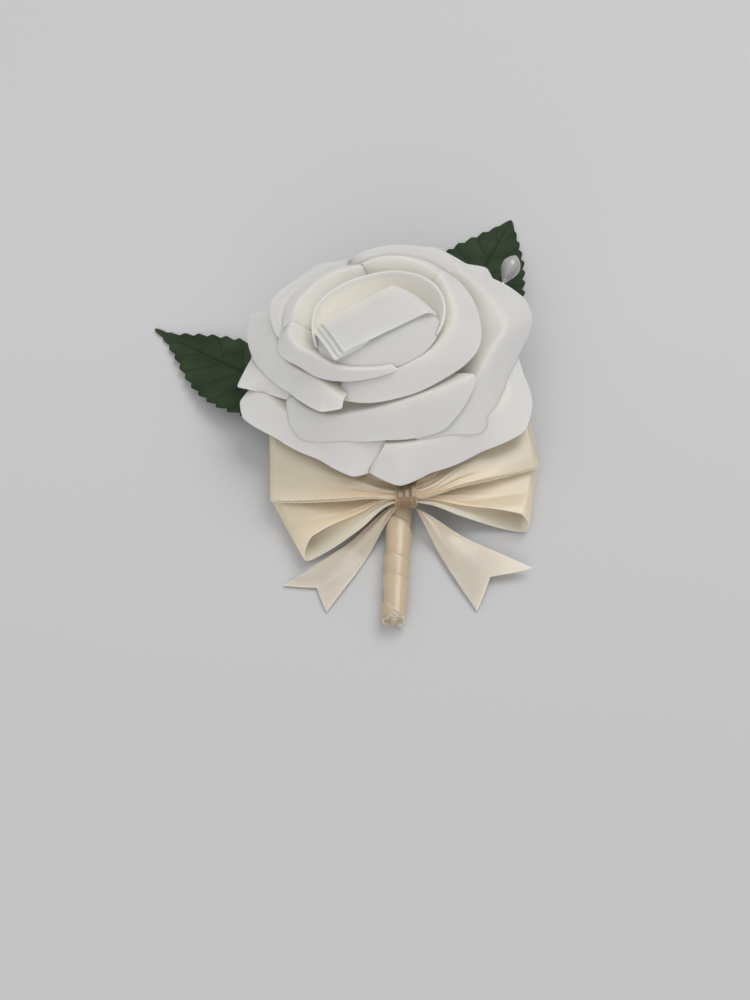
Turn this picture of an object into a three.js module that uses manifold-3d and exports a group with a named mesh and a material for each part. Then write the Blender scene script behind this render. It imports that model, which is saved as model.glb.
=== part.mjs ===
// Boutonniere lying face up on a table: foam rose, two fabric leaves, satin bow, wrapped stem, pearl pin.
// Units mm, +Z up, the wrapped stem runs towards -Y. Sizes are laid out round the bloom, then the whole
// group is moved so that its bounding box stands on z = 0 and is centred on the origin.
import * as THREE from "three";
import { mergeVertices } from "three/addons/utils/BufferGeometryUtils.js";
import Module from "manifold-3d";

const wasm = await Module();
wasm.setup();

// ---- driving dimensions ----
const GAP = 0.3; // clearance between neighbouring pieces
const BLOOM_AT = [-1.0, 3.0]; // bloom axis on the table plan
const PETAL_T = 0.8; // foam sheet thickness
const CORE_FLOOR = 7.75; // underside of the bloom's core
const WIRE_R = 1.3; // plastic-covered rose stem
const PETIOLE_R = 0.55; // leaf wires
const LEAF_T = 0.8; // fabric leaf thickness
const WRAP_R0 = 3.7; // ribbon wrap radius under the bloom
const WRAP_R1 = 2.95; // ribbon wrap radius at the cut end
const WRAP_Y0 = -13; // where the wrap starts under the bloom
const WRAP_Y1 = -68.6; // cut end
const WRAP_PITCH = 7.6; // advance of one turn of the wrap ribbon
const WRAP_STEP = 0.32; // height of the wrap ribbon's overlap
const FLAT_CUT = 0.16; // how much of the round is pressed flat on the table
const RIBBON_T = 0.5; // satin ribbon
const KNOT = [4.6, -35.6]; // plan centre of the bow's band
const BAND_Z0 = 7.72; // underside of the bow's band
const BAND_H = 4.58;
const BAND_Y = 3.05; // half depth of the band
const BAND_X = 2.75; // half length of the band
const BAND_T = 0.6;
const PIN_R = 0.4;
const PEARL_R = 2.95;
const PEARL_L = 12.2;

// ---- helpers: numbers ----
const rad = (d) => (d * Math.PI) / 180;
const lerp = (a, b, t) => a + (b - a) * t;
const clamp = (x, a, b) => Math.min(b, Math.max(a, x));
const ease = (t) => t * t * (3 - 2 * t);

// The stretch of a line of stations that holds x, from -1 to 1: its number and the share along it.
function stretch(list, x) {
  const n = list.length - 1;
  const s = clamp(((x + 1) / 2) * n, 0, n);
  const i = Math.min(n - 1, Math.floor(s));
  return [i, s - i];
}

// Smooth line through the stations.
function through(list, x) {
  const [i, t] = stretch(list, x);
  return list[i].map((p1, k) => {
    const p2 = list[i + 1][k];
    const p0 = i > 0 ? list[i - 1][k] : 2 * p1 - p2;
    const p3 = i + 2 < list.length ? list[i + 2][k] : 2 * p2 - p1;
    const a = 2 * p1;
    const b = p2 - p0;
    const c = 2 * p0 - 5 * p1 + 4 * p2 - p3;
    const d = -p0 + 3 * p1 - 3 * p2 + p3;
    return 0.5 * (a + b * t + c * t * t + d * t * t * t);
  });
}

// Nearly straight runs between the stations: a rim with soft corners.
function cornered(list, x) {
  const [i, t] = stretch(list, x);
  return through(list, x).map((smooth, k) => lerp(smooth, lerp(list[i][k], list[i + 1][k], t), 0.75));
}

// Cubic Hermite segment, component by component.
function hermite(p, m, q, n, t) {
  const t2 = t * t;
  const t3 = t2 * t;
  const a = 2 * t3 - 3 * t2 + 1;
  const b = t3 - 2 * t2 + t;
  const c = -2 * t3 + 3 * t2;
  const d = t3 - t2;
  return p.map((_, k) => a * p[k] + b * m[k] + c * q[k] + d * n[k]);
}

// ---- helpers: solids ----
function bare(geometry) {
  const g = new THREE.BufferGeometry();
  g.setAttribute("position", geometry.getAttribute("position"));
  if (geometry.index) g.setIndex(geometry.index);
  return mergeVertices(g, 1e-4);
}

function flipped(geometry) {
  const index = geometry.index.array.slice();
  for (let i = 0; i < index.length; i += 3) [index[i + 1], index[i + 2]] = [index[i + 2], index[i + 1]];
  geometry.setIndex(new THREE.BufferAttribute(index, 1));
  return geometry;
}

function solid(geometry) {
  const make = (g) =>
    new wasm.Manifold(
      new wasm.Mesh({
        numProp: 3,
        vertProperties: new Float32Array(g.attributes.position.array),
        triVerts: new Uint32Array(g.index.array),
      }),
    );
  const g = bare(geometry);
  const s = make(g);
  return s.volume() < 0 ? make(flipped(g)) : s;
}

function geometryOf(s) {
  const m = s.getMesh();
  const v = new Float32Array(m.numVert * 3);
  for (let i = 0; i < m.numVert; i++) {
    const from = i * m.numProp;
    v.set(m.vertProperties.subarray(from, from + 3), i * 3);
  }
  const g = new THREE.BufferGeometry();
  g.setAttribute("position", new THREE.BufferAttribute(v, 3));
  g.setIndex(new THREE.BufferAttribute(new Uint32Array(m.triVerts), 1));
  return g;
}

// A thin sheet: a plane grid is bent by place(u, v), u in -1..1, v in 0..1, and thickened to both sides of
// the middle surface; both faces are triangulated alike.
function sheet(nu, nv, thick, place) {
  const plane = new THREE.PlaneGeometry(2, 1, nu, nv);
  const flat = plane.getAttribute("position");
  const count = flat.count;
  const out = new Float32Array(count * 6);
  const at = (u, v) => new THREE.Vector3(...place(u, v));
  const e = 1e-3;
  for (let i = 0; i < count; i++) {
    const u = flat.getX(i);
    const v = flat.getY(i) + 0.5;
    const p = at(u, v);
    const du = at(u + e, v).sub(at(u - e, v));
    const v1 = Math.min(1, v + e);
    const v0 = Math.max(0, v - e);
    const dv = at(u, v1).sub(at(u, v0));
    const n = du.cross(dv).normalize().multiplyScalar(thick / 2);
    out.set([p.x + n.x, p.y + n.y, p.z + n.z], i * 3);
    out.set([p.x - n.x, p.y - n.y, p.z - n.z], (i + count) * 3);
  }
  const front = plane.index.array;
  const faces = [];
  for (let i = 0; i < front.length; i += 3) {
    const [a, b, c] = [front[i], front[i + 1], front[i + 2]];
    faces.push(a, b, c, a + count, c + count, b + count);
  }
  const rim = [];
  for (let i = 0; i < nu; i++) rim.push(i);
  for (let j = 0; j < nv; j++) rim.push(j * (nu + 1) + nu);
  for (let i = nu; i > 0; i--) rim.push(nv * (nu + 1) + i);
  for (let j = nv; j > 0; j--) rim.push(j * (nu + 1));
  for (let k = 0; k < rim.length; k++) {
    const a = rim[k];
    const b = rim[(k + 1) % rim.length];
    faces.push(a, b, b + count, a, b + count, a + count);
  }
  const g = new THREE.BufferGeometry();
  g.setAttribute("position", new THREE.BufferAttribute(out, 3));
  g.setIndex(faces);
  return g;
}

// A rod along a curve: a closed cylinder is bent so that ring t follows curve(t) with radius(t, angle).
// over lengthens both ends, for a bore that clears the rod's ends too.
function rod(curve, radius, sides, steps, over = 0, across = new THREE.Vector3(0, 0, 1)) {
  const g = bare(new THREE.CylinderGeometry(1, 1, 1, sides, steps));
  const p = g.getAttribute("position");
  for (let i = 0; i < p.count; i++) {
    const t = clamp(p.getY(i) + 0.5, 0, 1);
    const x = p.getX(i);
    const z = p.getZ(i);
    const here = curve.getPointAt(t);
    const along = curve.getTangentAt(t);
    if (t === 0) here.addScaledVector(along, -over);
    if (t === 1) here.addScaledVector(along, over);
    const side = across.clone().cross(along).normalize();
    const up = along.clone().cross(side).normalize();
    const r = Math.hypot(x, z) * radius(t, Math.atan2(z, x));
    const a = Math.atan2(z, x);
    const q = here.addScaledVector(side, r * Math.cos(a)).addScaledVector(up, r * Math.sin(a));
    p.setXYZ(i, q.x, q.y, q.z);
  }
  return g;
}

const curveOf = (list) =>
  new THREE.CatmullRomCurve3(list.map((p) => new THREE.Vector3(...p)), false, "centripetal");
const turned = (profile, sides) =>
  new THREE.LatheGeometry(profile.map(([r, z]) => new THREE.Vector2(r, z)), sides).rotateX(Math.PI / 2);

// ---- the bloom ----
// Each petal is one foam sheet glued by its narrow root to the core. fold and rim list stations from one
// side to the other as [degrees round the axis, radius, height]: the sheet climbs from its root to the
// fold and falls back from there to the rim. root is the height of the glued edge on the core.
const ROOT_R = 8; // radius of the glued edges, inside the core
const ROOT_SPREAD = 0.62; // width of a root as a share of its fold
const TO_FOLD = 0.5; // share of the sheet's rows below the fold
const PETALS = [
  // outer layer: broad petals with straight rims and pointed corners
  {
    root: 12, corners: true,
    fold: [
      [-172, 33, 15.6], [-164, 33.6, 16.4], [-154, 32, 16.5], [-139, 29.3, 16.5],
      [-120, 28.4, 17.2], [-101, 27.1, 18.2], [-90, 26.4, 18.6], [-81, 26, 18.6],
    ],
    rim: [
      [-171, 35.5, 14.4], [-165, 40.4, 13.2], [-158, 41, 12.2], [-144, 36.1, 11.8],
      [-121, 33.5, 12.2], [-103, 35.7, 12.7], [-94, 33.2, 13.5], [-84, 29.4, 15.4],
    ],
  },
  {
    root: 13, corners: true,
    fold: [
      [-90, 28.8, 18.8], [-80, 29.4, 19.4], [-67, 29.8, 19.4], [-46, 31.2, 18.8],
      [-28, 34.2, 18], [-16, 34.6, 18], [-4, 32.6, 18], [10, 31.5, 18],
    ],
    rim: [
      [-98, 33.6, 13.4], [-84, 38.5, 13.6], [-70, 35.8, 13.2], [-46, 37, 12.8],
      [-29, 42.9, 13.8], [-17, 41.8, 15], [-4, 38, 15.8], [12, 36.4, 15.8],
    ],
  },
  {
    root: 14, corners: true,
    fold: [
      [30, 32, 24.6], [40, 32.6, 25.2], [48, 33.4, 25.6], [57, 33.8, 25.8], [70, 34.5, 26], [82, 33, 26],
      [94, 30, 25.4], [106, 28, 24.4],
    ],
    rim: [
      [32, 39, 19.4], [42, 42.4, 18.9], [49, 45.4, 18.5], [56, 42.9, 18.5], [71, 45.5, 18], [83, 41.5, 19],
      [94, 36, 20], [106, 33, 20.4],
    ],
  },
  {
    root: 15, corners: true,
    fold: [
      [96, 28.5, 26], [108, 30, 26.2], [119, 31, 26.2], [131, 30.5, 26], [144, 30, 25.6],
      [156, 31, 24.4], [165, 31, 23.4],
    ],
    rim: [
      [97, 33.5, 21.4], [108, 35, 21.5], [119, 37.5, 21.5], [131, 36.3, 21.5], [144, 35.8, 21.5],
      [156, 38.5, 18.5], [166, 38, 17.6],
    ],
  },
  {
    root: 14, corners: true,
    fold: [
      [166, 31, 19], [177, 31, 18.8], [184, 31, 18.8], [190, 30.5, 18.6], [194, 29, 18.6],
      [201, 27.5, 18.6], [210, 25, 18.6],
    ],
    rim: [
      [166, 38, 17.4], [177, 36.2, 16.8], [184, 38.2, 16.2], [190, 40.4, 15.4],
      [193, 37.1, 15.8], [199, 32.4, 16.6], [210, 27.2, 17.4],
    ],
  },
  // second layer: broad rolls
  {
    root: 18, corners: true, crease: true,
    fold: [
      [-71, 25.1, 20.8], [-55, 24.9, 21.8], [-41, 26, 22.8], [-27, 26.4, 24.4],
      [-13, 27.4, 25.6], [-3, 29, 26.2], [9, 33, 26.6], [22, 31.8, 27.4], [36, 30.6, 28.6],
      [50, 30.4, 29.4],
    ],
    rim: [
      [-74, 28.9, 19.8], [-56, 31, 18.9], [-42, 35.1, 17], [-22, 33.5, 17.2], [-4, 34.9, 17.2],
      [6, 37.6, 17.2], [21, 44.8, 17.6], [29, 45.8, 18.4], [37, 43.8, 19.6], [48, 37, 24],
    ],
  },
  {
    root: 24, corners: true,
    fold: [
      [-152, 27.7, 19], [-141, 27.3, 20], [-126, 26.1, 21.4], [-106, 23, 24], [-86, 21.7, 26.3],
      [-65, 21.6, 27.4], [-44, 23.6, 27.6], [-28, 26.3, 27.4],
    ],
    rim: [
      [-153, 29, 17.6], [-142, 31.9, 15.4], [-132, 32.6, 14.2], [-111, 28.5, 17.6],
      [-90, 28, 19.7], [-72, 29, 20.2], [-58, 29.7, 20.5], [-28, 27.2, 26.2],
    ],
  },
  {
    root: 20, corners: true,
    fold: [
      [161, 32, 27], [172, 28.9, 26.2], [186, 28, 25.6], [198, 25.4, 25.4], [207, 23.4, 26],
      [218, 22.2, 27.2], [231, 22.8, 28.2], [244, 23.4, 28],
    ],
    rim: [
      [158, 40.3, 19.5], [167, 38.9, 18.8], [180, 35.4, 18.4], [196, 30.4, 18.8],
      [207, 28.1, 20.2], [221, 27.8, 22.6], [234, 27.8, 24.4], [245, 25.4, 26.6],
    ],
  },
  {
    root: 22,
    fold: [
      [98, 27, 28.8], [113, 26.9, 28.8], [130, 27, 28.6], [144, 28.1, 28.6], [157, 29.4, 28.6],
      [168, 28.2, 28.4], [182, 25.8, 28.4],
    ],
    rim: [
      [98, 30, 27.5], [113, 30.4, 27.4], [130, 31.4, 27], [144, 32.6, 27], [157, 33.2, 27.4],
      [168, 31, 27.2], [180, 28, 27.2],
    ],
  },
  {
    root: 22,
    fold: [
      [24, 29, 25.8], [38, 29, 27], [52, 29.6, 28.2], [66, 30, 29.2], [82, 29.3, 29.6],
      [98, 28, 29.5], [112, 26.2, 28.9],
    ],
    rim: [
      [24, 30.4, 25.4], [38, 31.6, 26.2], [52, 33.6, 26.8], [66, 34.8, 27.6], [82, 34, 28],
      [98, 31.8, 28], [112, 28.6, 27.8],
    ],
  },
  // third layer
  {
    root: 27,
    fold: [
      [178, 24.1, 32.4], [188, 24.7, 32.2], [199, 23, 32.2], [208, 21.1, 32.6], [220, 19.8, 33],
      [237, 18.3, 33.4], [255, 16.4, 33.6], [279, 15, 33.8],
    ],
    rim: [
      [176, 26.9, 28.6], [184, 27.9, 27.4], [192, 27.7, 26.9], [204, 24.1, 27.2],
      [219, 22.1, 27.9], [238, 19.8, 29.8], [257, 17.6, 31.4], [283, 15.7, 33],
    ],
  },
  {
    root: 27,
    fold: [
      [-128, 17.5, 27.6], [-110, 16.6, 30], [-94, 15.4, 31.4], [-63, 14.9, 32.9],
      [-40, 15.8, 33.4], [-15, 16.9, 33.8], [5, 18.5, 34.2], [21, 19, 34.8], [36, 20.2, 35.2],
      [48, 21.2, 35.4],
    ],
    rim: [
      [-124, 21, 25], [-101, 20.2, 27.6], [-78, 18.8, 28.9], [-42, 19.6, 28.9],
      [-23, 22.8, 28.8], [-9, 24.9, 28.8], [10, 25.9, 29.4], [24, 26, 30.6], [38, 25.6, 32],
      [50, 23.8, 33.8],
    ],
  },
  {
    root: 27,
    fold: [
      [34, 20.6, 33.4], [48, 21.7, 33.8], [60, 22.2, 34.4], [74, 22.3, 34.8], [90, 21.9, 34.8],
      [106, 20.8, 34.1],
    ],
    rim: [
      [34, 23.6, 31.2], [48, 25.2, 31.4], [60, 25.9, 31.8], [74, 25.8, 32], [90, 25, 32],
      [106, 22.6, 32.4],
    ],
  },
  {
    root: 27,
    fold: [
      [90, 21.2, 34.1], [108, 21, 34], [126, 21.8, 33.6], [144, 22.8, 33.2], [162, 24, 32.4],
      [182, 24, 31.3],
    ],
    rim: [
      [90, 24.4, 31.5], [108, 24.2, 31.3], [126, 25.4, 31], [144, 26.6, 30.6], [162, 27, 30],
      [180, 26.6, 29.6],
    ],
  },
  // the cup round the bud and the roll laid in front of it
  {
    root: 32, rise: 60,
    fold: [
      [-22, 14.2, 34.4], [10, 15.4, 35.2], [42, 15.8, 35.6], [74, 14.6, 35.8], [106, 13.6, 35.6],
      [138, 14.9, 35], [170, 17.6, 34.2], [204, 19, 32.4],
    ],
    rim: [
      [-22, 14.6, 35], [10, 16, 36.6], [42, 16.5, 37.2], [74, 15.2, 37.3], [106, 14.1, 37],
      [138, 15.5, 36.4], [170, 18.1, 35.5], [206, 19.3, 33],
    ],
  },
  {
    root: 34,
    fold: [
      [-168, 12, 35.4], [-140, 11.5, 36.1], [-106, 7.2, 36.8], [-54, 5.6, 37.6], [-15, 8.6, 38],
      [8, 11, 37.4],
    ],
    rim: [
      [-168, 18.6, 32.2], [-138, 19, 31.8], [-115, 17.4, 32], [-85, 15, 32.6], [-46, 14.4, 33],
      [-6, 14.8, 34.2],
    ],
  },
];
const CORE = [
  [0, CORE_FLOOR], [3, CORE_FLOOR], [6.4, 8.4], [8.2, 10.2], [9.6, 14], [10.6, 20],
  [11, 26], [10.8, 30], [9.6, 33], [6.5, 34.6], [3, 35.2], [0, 35.4],
];

function petal(p, nu, nv) {
  const middle = (p.fold[0][0] + p.fold[p.fold.length - 1][0]) / 2;
  const rise = rad(p.rise ?? 22);
  return sheet(nu, nv, PETAL_T, (u, v) => {
    const fold = p.crease ? cornered(p.fold, u) : through(p.fold, u);
    const root = [middle + (fold[0] - middle) * ROOT_SPREAD, ROOT_R, p.root + 0.6 * u];
    const reach = Math.hypot(fold[1] - root[1], fold[2] - root[2]);
    let q;
    if (v < TO_FOLD) {
      const leave = [fold[0] - root[0], 0.8 * reach, 0.3 * (fold[2] - root[2])];
      const up = [0, reach * Math.cos(rise), reach * Math.sin(rise)];
      q = hermite(root, leave, fold, up, v / TO_FOLD);
    } else {
      const rim = p.corners ? cornered(p.rim, u) : through(p.rim, u);
      const run = rim.map((c, k) => c - fold[k]);
      const lip = Math.hypot(run[1], run[2]);
      const away = [run[0], 0.7 * run[1] + 0.35 * lip * Math.cos(rise / 2), 0.75 * run[2]];
      q = hermite(fold, away, rim, [run[0], run[1], 1.1 * run[2]], (v - TO_FOLD) / (1 - TO_FOLD));
    }
    const a = rad(q[0]);
    return [q[1] * Math.cos(a), q[1] * Math.sin(a), q[2]];
  });
}

// The petal folded over the bud: a sheet draped between four corners, its near long edge free.
const FLAP = {
  ne: [10.2, -2.4, 38.6],
  nw: [-10.4, -13.4, 36.8],
  fe: [1.2, 5.2, 39.4],
  fw: [-16.2, -3.6, 36.6],
};
function flap(nu, nv) {
  const crest = 0.6; // the far fold, beyond it the sheet dives into the bud
  return sheet(nu, nv, PETAL_T, (u, v) => {
    const run = ((u + 1) / 2) * 1.25;
    const s = Math.min(1, run);
    const past = Math.max(0, run - 1) / 0.25;
    const near = FLAP.nw.map((c, i) => lerp(c, FLAP.ne[i], s));
    const far = FLAP.fw.map((c, i) => lerp(c, FLAP.fe[i], s));
    const w = Math.min(1, v / crest);
    const p = near.map((c, i) => lerp(c, far[i], w));
    p[2] += 2.2 * Math.sin(Math.PI * (0.08 + 0.72 * w)) * (0.4 + 0.6 * s);
    const dive = Math.max(0, (v - crest) / (1 - crest));
    p[0] += 1.2 * Math.sin(Math.PI * dive * 0.5) - 3 * dive * (1 - s) * -1;
    p[1] += 1.6 * Math.sin(Math.PI * dive * 0.5);
    p[2] -= 8 * dive * dive + 1.5 * dive;
    p[0] += 4.2 * past;
    p[1] += 1.2 * past;
    p[2] -= 6 * past * past + 0.6 * past;
    return p;
  });
}

const COLUMNS = { 6: 8, 7: 10, 8: 12, 10: 16 }; // grid columns by number of stations

function bloom() {
  const bodies = PETALS.map((p) => solid(petal(p, COLUMNS[p.fold.length], 6)));
  bodies.push(solid(turned(CORE, 16)), solid(flap(10, 5)));
  let s = wasm.Manifold.union(bodies);
  s = s.translate([BLOOM_AT[0], BLOOM_AT[1], 0]);
  return s.subtract(stemRod(GAP));
}

// ---- the calyx cup under the bloom ----
const CALYX = [
  [WIRE_R + GAP, 5.0], [3.6, 5.0], [7.0, 6.5], [8.7, 8.8], [8.3, 9.15], [6.5, 8.0],
  [3.2, CORE_FLOOR - GAP], [WIRE_R + GAP, CORE_FLOOR - GAP], [WIRE_R + GAP, 5.0],
];

// ---- stem ----
const wrapR = (y) => lerp(WRAP_R0, WRAP_R1, clamp((y - WRAP_Y0) / (WRAP_Y1 - WRAP_Y0), 0, 1));
const STEM_X = [[WRAP_Y0, 1.7], [-20, 2.6], [-30, 2.9], [-38, 2.9], [-48, 2.4], [-58, 1.9], [WRAP_Y1, 1.3]];
const stemAt = (x, y) => [x, y, wrapR(y) - FLAT_CUT];
const WRAP_LINE = curveOf(STEM_X.map(([y, x]) => stemAt(x, y)));
const BEND = 4.3;
const WIRE_LINE = curveOf([
  [BLOOM_AT[0], BLOOM_AT[1], 15.5],
  [BLOOM_AT[0], BLOOM_AT[1], 12],
  [BLOOM_AT[0], BLOOM_AT[1], 8.6],
  [BLOOM_AT[0], BLOOM_AT[1] - 0.29 * BEND, 5.6],
  [BLOOM_AT[0] + 0.1, BLOOM_AT[1] - BEND, 3.9],
  [0.1, -7, 3.55],
  ...STEM_X.slice(0, 6).map(([y, x]) => stemAt(x, y)),
  stemAt(1.42, WRAP_Y1 + 2.2),
]);

const X_AXIS = new THREE.Vector3(1, 0, 0);
const stemRod = (extra) => solid(rod(WIRE_LINE, () => WIRE_R + extra, 10, 30, extra, X_AXIS));

function wrapRadius(t, angle) {
  const y = lerp(WRAP_Y0, WRAP_Y1, t);
  const turns = (t * (WRAP_Y0 - WRAP_Y1)) / WRAP_PITCH + angle / (2 * Math.PI);
  const f = turns - Math.floor(turns);
  return wrapR(y) + WRAP_STEP * (f < 0.12 ? f / 0.12 : 1 - f) - 0.5 * WRAP_STEP;
}

// ---- leaves ----
// A leaf is told by its tip, its heading, its length and its half widths from the tip to the base, one
// list a side; the teeth point to the tip.
const LEAVES = {
  leaf_left: {
    tip: [-69.8, 30.5], to: [-10, -11], length: 60, lift: 5.2, fold: 0.05, cup: 1.4,
    sideA: [0.3, 1.2, 3.8, 6.3, 8.5, 10, 10.7, 10.4, 8.8, 5.5, 0.8],
    sideB: [0.3, 1.7, 4.4, 7.8, 10.8, 12.8, 13.9, 13.6, 11.6, 7, 0.8],
  },
  leaf_right: {
    tip: [40.7, 77], to: [6, -2], length: 64, lift: 4.6, fold: 0.05, cup: 1.2,
    sideA: [0.4, 3.7, 6.9, 10.1, 12.4, 14.4, 14.8, 13.4, 10.4, 6, 0.8],
    sideB: [0.4, 3.6, 7, 10.8, 13.2, 14.4, 14.8, 13.4, 10.4, 6, 0.8],
  },
};
const TEETH = 15;
const TOOTH = 1.15;

function leafBlade(l) {
  const dx = l.to[0] - l.tip[0];
  const dy = l.to[1] - l.tip[1];
  const d = [dx / Math.hypot(dx, dy), dy / Math.hypot(dx, dy)];
  const n = [-d[1], d[0]];
  const stops = [0, 0.22, 0.6];
  const nv = TEETH * stops.length;
  return sheet(4, nv, LEAF_T, (u, v) => {
    const s = v * nv;
    const k = Math.floor(s / 3 + 1e-6);
    const i = clamp(s - 3 * k, 0, 3);
    const lo = Math.min(2, Math.floor(i + 1e-6));
    const f = lerp(stops[lo], lo < 2 ? stops[lo + 1] : 1, i - lo);
    const t = clamp((k + f) / TEETH, 0, 1);
    const bite = f < 0.22 ? f / 0.22 : 1 - (f - 0.22) / 0.78;
    const body = Math.pow(Math.sin(Math.PI * Math.pow(t, 1.08)), 1.45);
    const side = through((u < 0 ? l.sideB : l.sideA).map((half) => [half]), 2 * t - 1)[0];
    const teeth = TOOTH * bite * Math.min(1, 6 * t, 8 * (1 - t));
    const w = side + teeth;
    const a = 1 + t * (l.length - 1);
    const b = Math.sign(u) * Math.pow(Math.abs(u), 0.9) * w;
    const wave = 0.7 * Math.sin(t * 9 + (u < 0 ? 1.2 : 0)) * u * u * body;
    const bowed = l.fold * Math.abs(b) + l.cup * body * u * u * 0.4;
    const z = LEAF_T / 2 + 0.05 + l.lift * ease(t) + bowed + wave * ease(clamp(t * 3, 0, 1));
    return [l.tip[0] + d[0] * a + n[0] * b, l.tip[1] + d[1] * a + n[1] * b, z];
  });
}

const PETIOLES = {
  leaf_left: curveOf([
    [-27, 2.6, 4.9], [-19.6, -1.9, 5.6], [-11, -6.6, 5.2], [-3.7, -11.6, 4.2],
    [-0.15, -16, 3.6], [0.25, -20, 3.5], [0.7, -25, 3.45],
  ]),
  leaf_right: curveOf([
    [17.5, 23.6, 4.6], [14.2, 16.2, 5.2], [10.2, 6, 5.0], [7.2, -4, 4.3],
    [5.4, -13, 3.7], [4.85, -20, 3.5], [5.05, -25, 3.45],
  ]),
};
const petiole = (name, extra) => rod(PETIOLES[name], () => PETIOLE_R + extra, 6, 12, extra);

// ---- bow ----
// A loop runs from the band along its top layer to the end line (back point, front point), round the end
// and back to the band as the bottom layer.
const LOOPS = {
  bow_left_upper_loop: {
    side: -1, back: [-32, -12.5], front: [-30.7, -35.3], z0: 11.16, z1: 10.39, end: 8.15, r: 2.0,
    mouth: 0.2, tuck: 0, lift: 0, shut: 0.8,
  },
  bow_left_lower_loop: {
    side: -1, back: [-31, -32.4], front: [-21.5, -51.1], z0: 9.62, z1: 8.85, end: 2.9, r: 2.35,
    mouth: 1.2, tuck: 3, lift: 1.0, shut: 0,
  },
  bow_right_upper_loop: {
    side: 1, back: [38.2, -4.5], front: [40.2, -24.6], z0: 11.16, z1: 10.39, end: 8.15, r: 2.0,
    mouth: 0.2, tuck: 0, lift: 0, shut: 0.8,
  },
  bow_right_lower_loop: {
    side: 1, back: [40.6, -21.6], front: [36.8, -41.4], z0: 9.62, z1: 8.85, end: 2.9, r: 2.35,
    mouth: 1.0, tuck: 1.5, lift: 0, shut: 0,
  },
};
const PINCH = 1.45; // half width of the gathered ribbon inside the band
const BEND_AT = 0.35; // where along the strip the end bend starts

// shut presses the front edge of a loop flat; mouth and tuck gape its top layer; lift raises its front.
function loop(l) {
  const inner = KNOT[0] + l.side * 1.2;
  const mid = [(l.back[0] + l.front[0]) / 2, (l.back[1] + l.front[1]) / 2];
  const turn = l.r / Math.hypot(mid[0] - inner, mid[1] - KNOT[1]);
  return sheet(4, 20, RIBBON_T, (u, v) => {
    const top = v < 0.5;
    const w = (top ? v : 1 - v) / BEND_AT;
    const k = (u + 1) / 2;
    let s;
    let z;
    let low = l.end - l.r;
    if (w <= 1) {
      s = w * (1 - turn);
      low = lerp(l.z1, l.end - l.r, ease(w));
      z = top ? lerp(l.z0, l.end + l.r, ease(Math.min(1, 1.5 * w))) : low;
    } else {
      const a = ((v - BEND_AT) / (1 - 2 * BEND_AT)) * Math.PI;
      s = 1 - turn + turn * Math.sin(a);
      z = l.end + l.r * Math.cos(a);
    }
    z = low + (z - low) * (1 - l.shut * k * k * ease(Math.min(1, w)));
    const out = [lerp(l.back[0], l.front[0], k), lerp(l.back[1], l.front[1], k)];
    const open = lerp(0.15, 1, ease(clamp((s - 0.03) / 0.38, 0, 1)));
    let y = lerp(lerp(KNOT[1], mid[1], s * s) - u * PINCH, lerp(KNOT[1] - u * PINCH, out[1], s), open);
    y += l.shut * 3.6 * Math.max(0, -u) * Math.exp(-3 * s) * ease(clamp(8 * s - 1.1, 0, 1));
    const gape = top ? Math.sin(Math.PI * Math.min(1, w * 0.62)) * Math.max(0, u) : 0;
    const lift = l.lift * clamp(s * 1.6 - 0.3, 0, 1) * k;
    return [lerp(inner, out[0], s), y + l.tuck * gape, z + l.mouth * gape + lift];
  });
}

const TAILS = {
  bow_left_tail: {
    left: [-27.2, -57.1, 0.7], right: [-15.6, -64.8, 0.6], notch: 4.4, from: [2.7, -36.6], arch: 0.3,
  },
  bow_right_tail: {
    left: [22.3, -64.6, 0.8], right: [37.5, -53.2, 2.8], notch: 5.2, from: [5.9, -36.6], arch: 0.7,
  },
};

function tail(l) {
  const mid = [0, 1].map((i) => (l.left[i] + l.right[i]) / 2);
  const L = Math.hypot(mid[0] - l.from[0], mid[1] - l.from[1]);
  return sheet(4, 12, RIBBON_T, (u, v) => {
    const k = (u + 1) / 2;
    const s = v * (1 - (l.notch / L) * (1 - Math.abs(u)));
    const open = ease(clamp(0.12 + s * 1.35, 0, 1));
    const x = lerp(l.from[0], lerp(l.left[0], l.right[0], k), s);
    const y = lerp(l.from[1] - u * PINCH * 0.5, lerp(l.left[1], l.right[1], k), s * lerp(0.75, 1, open));
    const fall = ease(clamp(s * 2.1, 0, 1));
    const z = lerp(7.25, lerp(l.left[2], l.right[2], k), fall) + l.arch * (1 - u * u) * Math.sin(Math.PI * s);
    return [x, y, z];
  });
}

function knotBand() {
  const ring = (hy, hz, len, fold, corner) => {
    const g = bare(new THREE.CylinderGeometry(1, 1, len, 20, 6).rotateZ(Math.PI / 2));
    const p = g.getAttribute("position");
    for (let i = 0; i < p.count; i++) {
      const y = p.getY(i);
      const z = p.getZ(i);
      const a = Math.atan2(z, y);
      const m = Math.hypot(y, z);
      const c = Math.cos(a);
      const d = Math.sin(a);
      const square = (Math.abs(c) ** corner + Math.abs(d) ** corner) ** (-1 / corner);
      const pleat = 1 + fold * Math.cos((p.getX(i) * Math.PI * 2) / 1.8);
      p.setXYZ(i, p.getX(i), m * square * hy * pleat * c, m * square * hz * pleat * d);
    }
    return solid(g);
  };
  const outer = ring(BAND_Y, BAND_H / 2, 2 * BAND_X, 0.03, 4);
  const inner = ring(BAND_Y - BAND_T, BAND_H / 2 - BAND_T, 2 * BAND_X + 2, 0, 8);
  return outer.subtract(inner).translate([KNOT[0], KNOT[1], BAND_Z0 + BAND_H / 2]);
}

// ---- pin ----
const PEARL_NECK = new THREE.Vector3(33.3, 33.6, 14.6);
const PIN_TO = new THREE.Vector3(4.85, -32.6, 4.8);
const PIN_DIR = PEARL_NECK.clone().sub(PIN_TO).normalize();

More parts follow.
